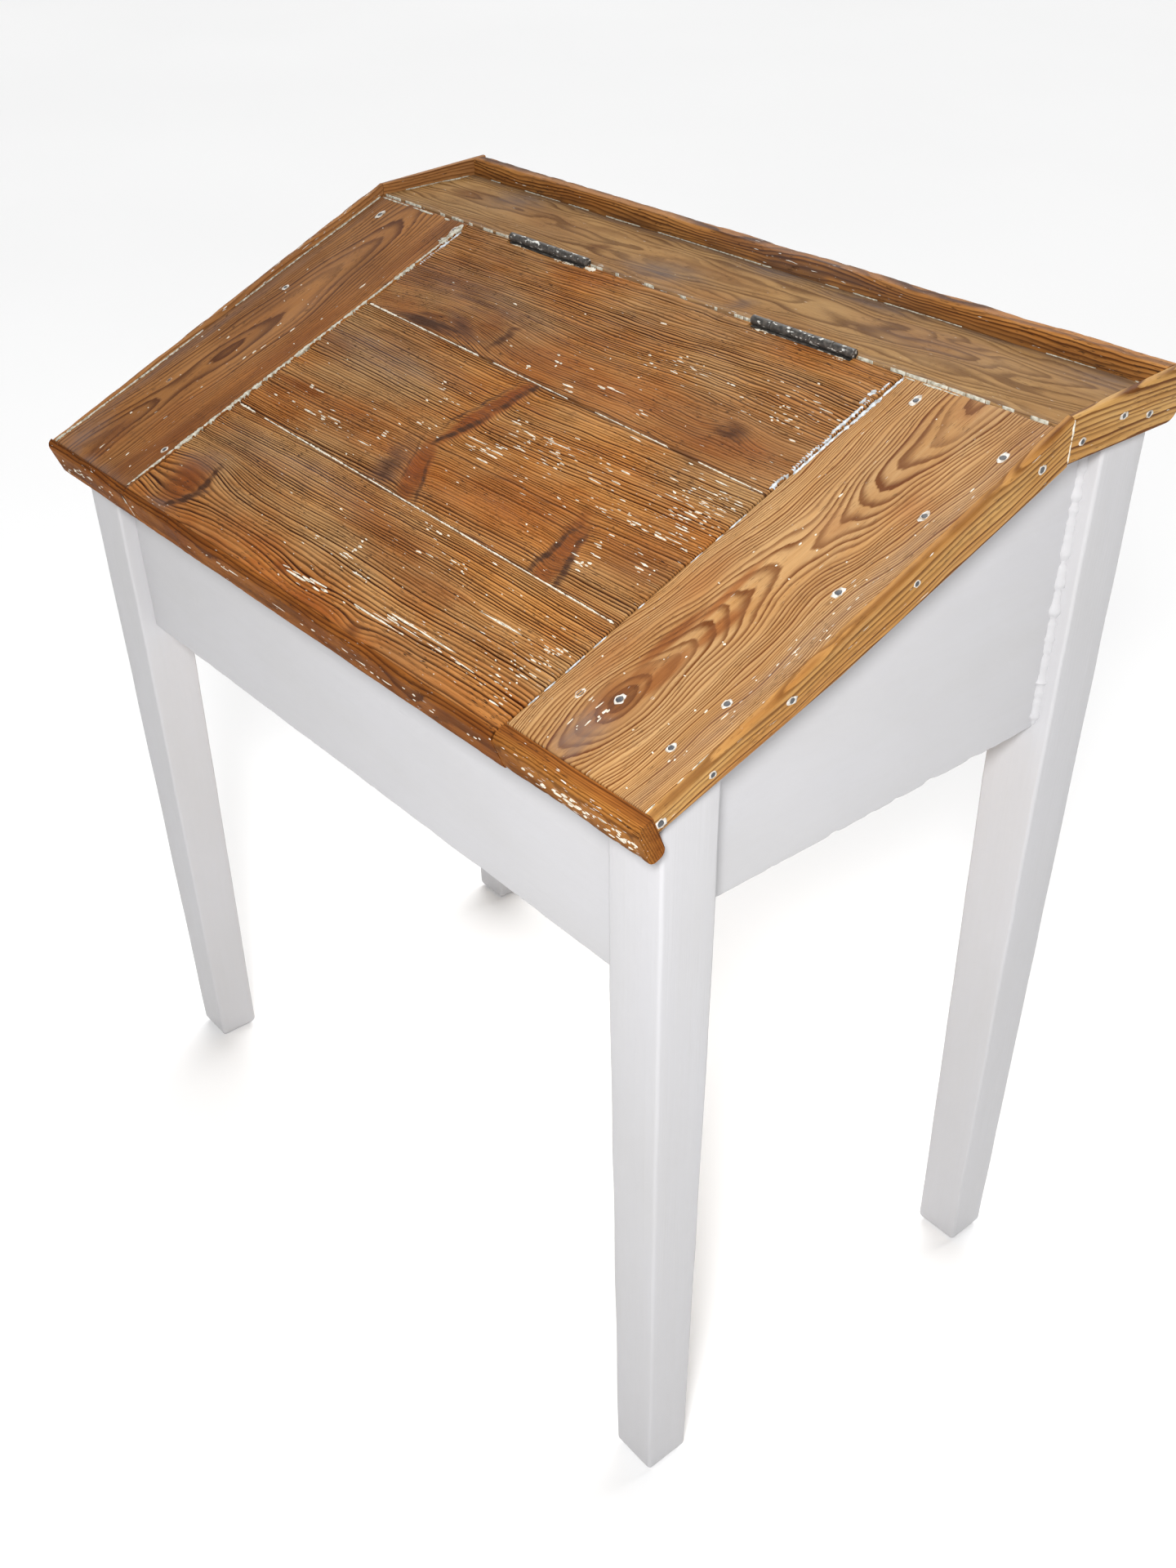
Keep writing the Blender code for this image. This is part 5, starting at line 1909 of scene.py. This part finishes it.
@dataclass
class Lid:
    """The hinged lid: three brushed planks, two battens under them, a nosing and the scraps of paint."""

    at: Setting

    def build(self) -> None:
        """Make and dress every piece of the lid but its hinge leaves."""
        run = self.at.long_run
        start = float(self.at.plumb_run(np.array(0.0), SEAM))
        under = float(self.at.plumb_run(np.array(-BOARD_THICK), SEAM)) - start

        def joint(pair: tuple[float, float]) -> Line:
            """Return the line of a joint."""
            return lambda x: pair[0] + (pair[1] - pair[0]) * (x + LID_HALF) / (2 * LID_HALF)

        first = joint(FIRST_JOINT)
        second = joint(SECOND_JOINT)
        lay = self.at.slope_along_x()
        rear = Plank(
            "lid_plank_rear", lay, REAR_GRAIN, -LID_HALF, LID_HALF,
            lambda x: HINGE_NOTCH if self.at.in_hinge(x, GAP) else start, first, 0.0, BOARD_THICK,
            edge=LID_EDGE, fine=320, step=0.0028, under_left=under,
            extra=(*self.at.hinge_edges(GAP), *np.arange(-0.092, -0.066, 0.0012)))
        middle = Plank(
            "lid_plank_middle", lay, MIDDLE_GRAIN, -LID_HALF, LID_HALF,
            lambda x: first(x) + GAP, second, 0.0, BOARD_THICK, edge=LID_EDGE, fine=330, step=0.0034,
            extra=(*np.arange(-0.06, 0.016, 0.0011), *np.arange(0.138, 0.186, 0.0011)))
        front = Plank(
            "lid_plank_front", lay, FRONT_GRAIN, -LID_HALF, LID_HALF,
            lambda x: second(x) + GAP, lambda x: run, 0.0, BOARD_THICK, edge=LID_EDGE, fine=290,
            step=0.0028, extra=tuple(np.arange(-0.222, -0.16, 0.0012)))
        for plank in (rear, middle, front):
            item = plank.build().make(plank.name + "_brushed", PLANK_SHARP)
            dress(item, BRUSHED, Body.LID, Slot.BRUSHED, plank.name)
        nosing(self.at, "lid_nosing", (-LID_HALF, LID_HALF), run, 79, Body.LID)
        self.battens()
        self.paint(first, second)

    def battens(self) -> None:
        """Make the battens under the planks."""
        for index, side in enumerate(Side):
            name = "lid_batten_" + side.word
            low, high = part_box(name)
            top = -BOARD_THICK - GAP
            reach = (high.y - low.y - BATTEN_THICK * math.sin(SLOPE)) / math.cos(SLOPE)
            end = (self.at.bend_y - low.y - top * math.sin(SLOPE)) / math.cos(SLOPE)
            grain = Grain((low.x + high.x) / 2, ((0, 0.02), (0.4, 0.03)), 0.004, seed=131 + index)
            plank = Plank(
                name, self.at.slope_down(), grain, end - reach, end, lambda u: low.x, lambda u: high.x,
                top - BATTEN_THICK, -BATTEN_THICK, edge=0.002, fine=24, step=0.012)
            item = plank.build().make(name + "_grained")
            dress(item, RAW, Body.LID, Slot.RAW, name)

    def paint(self, first: Line, second: Line) -> None:
        """Make the flecks on the planks and the paint in their joints.

        Args:
            first: Run of the first joint at x.
            second: Run of the second joint at x.
        """
        lay = self.at.slope_along_x()
        margin = 0.002

        def inside(x: float, run: float) -> bool:
            """Say whether a place is clear of joints and edges."""
            if abs(x) > LID_HALF - margin or not 0.01 < run < self.at.long_run - margin:
                return False
            return abs(run - first(x)) > margin and abs(run - second(x)) > margin

        flecks = Flecks(lay, 141)
        flecks.scatter(LID_SPATTERS, inside, -0.0003)
        scraps(flecks.shell, "lid_paint_flecks", FLAKE, Body.LID)
        joints = SeamPaint(lay, 143)
        half = LID_HALF - 0.003
        for line, turn, widths, covers in (
                (first, -0.03, (0.0012, 0.001), (0.92, 0.8)),
                (second, -0.06, (0.0014, 0.0011), (0.92, 0.85))):
            places = [(x, line(x)) for x in (-half, turn, half)]
            joints.run(places[0], places[1], widths[0], covers[0], face=-0.0005, piece=0.018)
            joints.run(places[1], places[2], widths[1], covers[1], face=-0.0006, piece=0.02)
        beside = HINGE_NOTCH + 0.0012
        for _, low, high in self.at.hinges:
            joints.run((low, beside), (high, beside), 0.0018, 0.5, face=-0.0006, piece=0.009)
        lump = self.at.hinges[0][2]
        joints.run((lump + 0.001, 0.0042), (lump + 0.013, 0.0042), 0.005, 1.0, height=0.0006, piece=0.012)
        scraps(joints.shell, "lid_joint_paint", FLAKE, Body.LID)
        sides = SeamPaint(lay, 147)
        for x, low, high, width, cover, height, piece in (
                (LID_HALF - 0.0022, 0.012, 0.07, 0.0024, 0.9, 0.0003, 0.03),
                (LID_HALF - 0.0056, 0.022, 0.038, 0.006, 1.0, 0.0008, 0.01),
                (LID_HALF - 0.0014, 0.07, 0.13, 0.0022, 0.8, 0.0002, 0.03),
                (-LID_HALF + 0.0018, 0.012, 0.06, 0.003, 0.9, 0.0002, 0.03)):
            sides.run((x, low), (x, high), width, cover, face=-0.0004, height=height, piece=piece)
        scraps(sides.shell, "lid_edge_paint", BLUE_PAINT, Body.LID)
        nose = Flecks(self.at.nose_lay(), 151)
        streaks = (
            Spatter(-0.1, 0.012, 0.13, 0.007, 12, 0.006, 0.0012),
            Spatter(0.12, 0.014, 0.11, 0.008, 18, 0.007, 0.0014),
            Spatter(0.21, 0.016, 0.03, 0.007, 6, 0.005, 0.0014))
        nose.scatter(streaks, lambda x, v: abs(x) < LID_HALF - 0.004 and 0.009 < v < 0.026, -0.0001)
        scraps(nose.shell, "lid_nosing_flecks", FLAKE, Body.LID)


@dataclass
class SideSeams:
    """Paint in the seams beside the lid, and flecks on the side boards and outer nosings."""

    at: Setting
    edge: float = 0.004
    seam: float = SIDE_INNER + 0.0016

    def build(self) -> None:
        """Make the paint on the side boards, clear of the lid."""
        self.seams()
        self.flecks()

    def seams(self) -> None:
        """Make the paint along the side boards' inner edges and upper ends."""
        down = self.at.slope_down()
        seam = self.seam
        left = SeamPaint(down, 161)
        left.run((0.006, -seam), (self.at.long_run - 0.002, -seam), 0.0027, 1.0, piece=0.02)
        left.run((0.004, -seam - 0.0016), (0.032, -seam - 0.0016), 0.006, 1.0, height=0.0006, piece=0.012)
        ends = [(0.004, -HALF_SPAN + self.edge), (0.004, -SIDE_INNER - self.edge)]
        left.run(ends[0], ends[1], 0.0012, 0.5, height=0.0001, piece=0.012)
        scraps(left.shell, "left_seam_paint", SEAM_PAINT)
        right = SeamPaint(down, 163)
        right.run((0.004, seam + 0.0004), (0.064, seam + 0.0004), 0.0028, 0.95)
        right.run((0.064, seam), (0.128, seam), 0.002, 0.85, height=0.0001)
        right.run((0.128, seam - 0.0006), (0.36, seam - 0.0006), 0.0009, 0.35, height=0.0001, piece=0.008)
        scraps(right.shell, "right_seam_paint", BLUE_PAINT)
        bend = SeamPaint(down, 164)
        ends = [(0.0036, SIDE_INNER + 0.003), (0.0036, HALF_SPAN - 0.003)]
        bend.run(ends[0], ends[1], 0.0011, 0.5, height=0.0001, piece=0.012)
        scraps(bend.shell, "bend_seam_paint", SEAM_PAINT)

    def flecks(self) -> None:
        """Make the flecks on the boards and nosings, and the drip on the left nosing."""
        edge = self.edge
        flecks = Flecks(self.at.slope_down(), 165)
        flecks.scatter(
            (Spatter(0.2, 0.31, 0.2, 0.06, 44, 0.002, 0.0013),
             Spatter(0.2, 0.362, 0.16, 0.007, 22, 0.003, 0.001),
             Spatter(0.334, 0.292, 0.016, 0.012, 12, 0.0034, 0.0012),
             Spatter(0.2, -0.31, 0.2, 0.06, 40, 0.0024, 0.0014)),
            lambda u, x: (0.012 < u < self.at.slope_run - edge
                          and SIDE_INNER + edge < abs(x) < HALF_SPAN - edge),
            -0.0002)
        scraps(flecks.shell, "side_board_flecks", FLAKE)
        face = self.at.nose_lay()
        nose = Flecks(face, 167)
        nose.scatter(
            (Spatter(0.32, 0.015, 0.06, 0.01, 30, 0.006, 0.0019),
             Spatter(0.355, 0.018, 0.02, 0.008, 16, 0.006, 0.0022),
             Spatter(-0.32, 0.015, 0.05, 0.008, 20, 0.007, 0.0018)),
            lambda x, v: SIDE_INNER + edge < abs(x) < HALF_SPAN + 0.006 and 0.009 < v < 0.026, -0.0001)
        scraps(nose.shell, "side_nosing_flecks", FLAKE)
        drip = SeamPaint(face, 169)
        ends = [(-SIDE_INNER - 0.0024, 0.006), (-SIDE_INNER - 0.002, 0.026)]
        drip.run(ends[0], ends[1], 0.0032, 1.0, face=-0.0006, height=0.0006)
        scraps(drip.shell, "left_nosing_drip", SEAM_PAINT)


@dataclass
class Compartment:
    """The bare floor planks and cleats inside the base."""

    at: Setting

    def build(self) -> None:
        """Make and dress the floor."""
        reach = HALF_SPAN - LEG_X - GAP
        for number in (1, 2, 3):
            name = "floor_plank_%d" % number
            low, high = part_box(name)
            front = self.at.front_y + LEG_Y + GAP if number == 1 else low.y
            back = self.at.back_y - LEG_Y - GAP if number == 3 else high.y
            near = low.y
            far = high.y
            middle = (near + far) / 2
            grain = Grain(middle, ((-0.4, 0.02), (0.4, 0.035)), 0.0045, tighten=1.0, seed=171 + number)
            edges = [sign * reach + nudge for sign in (-1, 1) for nudge in (-NUDGE, NUDGE)]
            plank = Plank(
                name, XYZ, grain, low.x, high.x, lambda x: front if abs(x) > reach else near,
                lambda x: back if abs(x) > reach else far, high.z, high.z - low.z, fine=30, step=0.02,
                extra=tuple(edges))
            dress(plank.build().make(name + "_grained"), RAW, Body.DESK, Slot.RAW, name)
        for index, side in enumerate(Side):
            name = "floor_cleat_" + side.word
            low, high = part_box(name)
            lay = Lay((0, 0, 0), (0, 1, 0), (1, 0, 0), (0, 0, 1))
            grain = Grain((low.x + high.x) / 2, ((-0.4, 0.02), (0.4, 0.03)), 0.004, seed=181 + index)
            plank = Plank(
                name, lay, grain, low.y, high.y, lambda y: low.x, lambda y: high.x, high.z, high.z - low.z,
                fine=8, step=0.02)
            dress(plank.build().make(name + "_grained"), RAW, Body.DESK, Slot.RAW, name)


@dataclass
class Hinges:
    """Two five-knuckle butt hinges with rounded knuckle ends and riveted pins."""

    at: Setting
    axis_z: float
    leaf_thick: float = 0.0018
    leaf_depth: float = 0.0172
    gap: float = 0.0004
    chamfer: float = 0.0006
    rivet: float = 0.0005
    clear: float = 0.0006
    sides: int = 28

    def build(self, nodes: dict[str, bpy.types.Object]) -> None:
        """Make the leaves and pins, and dress the hidden screws.

        Args:
            nodes: The solids by name.
        """
        for word, low, high in self.at.hinges:
            for body in Body:
                self.leaf(word, low, high, body)
            pin = Shell()
            self.round_bar(pin, low, high, PIN_RADIUS, self.rivet)
            name = "hinge_%s_pin" % word
            dress(pin.make(name + "_iron", IRON_SHARP), IRON, Body.DESK, Slot.IRON, name)
        for name, node in nodes.items():
            if "_screw_" in name:
                node.data.materials.clear()
                node.data.materials.append(IRON.material())

    def round_bar(self, shell: Shell, low: float, high: float, radius: float, chamfer: float) -> None:
        """Add a bar along the hinge line with rounded ends.

        Args:
            shell: The shell that takes it.
            low: Left end.
            high: Right end.
            radius: Its radius.
            chamfer: How far its ends are rounded.
        """
        angles = turns(self.sides)
        rows = []
        for x, inset in ((low, chamfer), (low + chamfer * 0.3, chamfer * 0.3), (low + chamfer, 0.0),
                         (high - chamfer, 0.0), (high - chamfer * 0.3, chamfer * 0.3), (high, chamfer)):
            r = radius - inset
            ys = self.at.bend_y + np.cos(angles) * r
            rows.append(np.column_stack([np.full(self.sides, x), ys, self.axis_z + np.sin(angles) * r]))
        shell.add(np.array(rows), XYZ, None)

    def leaf(self, word: str, low: float, high: float, body: Body) -> None:
        """Make a leaf: every second knuckle and the plate let into the wood.

        Args:
            word: left or right.
            low: Left end.
            high: Right end.
            body: The body that it rides on.
        """
        first, kind, behind = (1, "lid", -1) if body is Body.LID else (0, "shelf", 1)
        shell = Shell()
        pitch = (high - low) / KNUCKLES
        for index in range(first, KNUCKLES, 2):
            start = low + index * pitch + self.gap / 2
            self.round_bar(shell, start, start + pitch - self.gap, KNUCKLE_RADIUS, self.chamfer)
        near = self.at.bend_y + behind * GAP
        far = near + behind * self.leaf_thick
        y_low, y_high = sorted((near, far))
        top = self.axis_z - KNUCKLE_RADIUS - self.clear
        foot = self.at.shelf_top - self.leaf_depth
        corners = [(y_low, foot), (y_high, foot), (y_high, top), (y_low, top)]
        ring = outline(corners, [0.0003] * 4, [1, 2, 1, 2])
        shell.add(loft(stations(low, high, 0.02), lambda x: ring), XYZ, None)
        name = "hinge_%s_%s_leaf" % (word, kind)
        dress(shell.make(name + "_iron", IRON_SHARP), IRON, body, Slot.IRON, name)


class LampKind(Enum):
    """How a studio light shines."""

    DISK = "AREA"
    SUN = "SUN"


@dataclass(frozen=True)
class Lamp:
    """One soft studio light, aimed at a point of the desk."""

    name: str
    place: Place
    aim: Place
    size: float
    power: float
    kind: LampKind = LampKind.DISK

    def build(self) -> None:
        """Make the light; a sun's size is its angle across."""
        data = bpy.data.lights.new(self.name, self.kind.value)
        if self.kind is LampKind.DISK:
            data.shape = "DISK"
            data.size = self.size
        else:
            data.angle = self.size
        data.energy = self.power
        item = link(self.name, data)
        item.location = self.place
        way = Vector(self.aim) - Vector(self.place)
        item.rotation_mode = "QUATERNION"
        item.rotation_quaternion = way.to_track_quat("-Z", "Y")


@dataclass
class Studio:
    """The pale floor, the soft lights and the camera at the photograph's viewing angle."""

    at: Setting
    focal: float = 1946.28
    centre_x: float = 713.24
    centre_y: float = 1154.66
    azimuth: float = 51.0595
    elevation: float = 39.0119
    roll: float = -1.0486
    eye: Place = (0.93205, -0.51134, 1.18388)
    sky: tuple[tuple[float, float], ...] = ((0.0, 1.85), (0.1, 1.7), (0.32, 0.75), (1.0, 0.22))

    def build(self) -> None:
        """Make the stage."""
        self.camera()
        self.floor()
        self.lights()

    def camera(self) -> None:
        """Make the camera, with the eye measured from the front legs' faces."""
        a = math.radians(self.azimuth)
        e = math.radians(self.elevation)
        r = math.radians(self.roll)
        back = Vector((math.sin(a) * math.cos(e), -math.cos(a) * math.cos(e), math.sin(e)))
        right = Vector((math.cos(a), math.sin(a), 0))
        up = back.cross(right)
        turned_right = right * math.cos(r) + up * math.sin(r)
        turned_up = up * math.cos(r) - right * math.sin(r)
        data = bpy.data.cameras.new("photo_camera")
        data.sensor_fit = "VERTICAL"
        data.sensor_height = SENSOR
        data.sensor_width = SENSOR
        data.lens = self.focal / PHOTO_HEIGHT * SENSOR
        data.shift_x = (PHOTO_WIDTH / 2 - self.centre_x) / PHOTO_HEIGHT
        data.shift_y = (self.centre_y - PHOTO_HEIGHT / 2) / PHOTO_HEIGHT
        data.clip_start = 0.05
        data.clip_end = 100
        item = link("photo_camera", data)
        axes = Matrix((turned_right, turned_up, back)).transposed().to_4x4()
        place = Vector(self.eye) + Vector((0, self.at.front_y, 0))
        item.matrix_world = Matrix.Translation(place) @ axes
        bpy.context.scene.camera = item

    def floor(self) -> None:
        """Make the floor, a wide pale sheet."""
        mesh = bpy.data.meshes.new("floor")
        reach = 60.0
        corners = [(-reach, -reach, 0), (reach, -reach, 0), (reach, reach, 0), (-reach, reach, 0)]
        mesh.from_pydata(corners, [], [(0, 1, 2, 3)])
        item = link("floor", mesh)
        g = Graph("pale_floor")
        place = g.add("ShaderNodeTexCoord").outputs["Object"]
        cloud = g.ramp(g.noise(place, 2.0, 0.8), ((0.3, 0.0), (0.7, 1.0)))
        g.feed("Base Color", g.mix(cloud, (0.955, 0.955, 0.955), (0.975, 0.975, 0.975)))
        g.feed("Roughness", 0.9)
        g.feed("Specular IOR Level", 0.1)
        mesh.materials.append(g.material)

    def lights(self) -> None:
        """Make the lights: a key near the viewer, a soft light from behind and an even sky."""
        lamps = (
            Lamp("key", (1.02, -0.95, 1.5), (0.05, -0.05, 0.62), 0.3, 25.5),
            Lamp("back", (-1.4, 2.0, 3.2), (0.0, 0.0, 0.0), math.radians(60), 2.65, LampKind.SUN))
        for lamp in lamps:
            lamp.build()
        world = bpy.context.scene.world or bpy.data.worlds.new("studio")
        bpy.context.scene.world = world
        world.use_nodes = True
        tree = world.node_tree
        sky = tree.nodes["Background"]
        height = tree.nodes.new("ShaderNodeSeparateXYZ")
        tree.links.new(tree.nodes.new("ShaderNodeTexCoord").outputs["Generated"], height.inputs[0])
        brighter = tree.nodes.new("ShaderNodeValToRGB")
        set_stops(brighter.color_ramp.elements, self.sky)
        tree.links.new(height.outputs["Z"], brighter.inputs[0])
        tree.links.new(brighter.outputs[0], sky.inputs[0])
        sky.inputs[1].default_value = 0.52
        bpy.context.scene.view_settings.view_transform = "Standard"
        bpy.context.scene.view_settings.look = "None"


def main() -> None:
    """Dress the desk and build the stage."""
    logging.basicConfig(level=logging.INFO, format="%(name)s: %(message)s")
    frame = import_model()
    at = Setting.read()
    axis_z = frame["joints"][0]["pos_m"][2]
    Studio(at).build()
    Base(at).build()
    Top(at).build()
    Lid(at).build()
    SideSeams(at).build()
    Compartment(at).build()
    Hinges(at, axis_z).build(frame["nodes"])


if __name__ == "__main__":
    main()
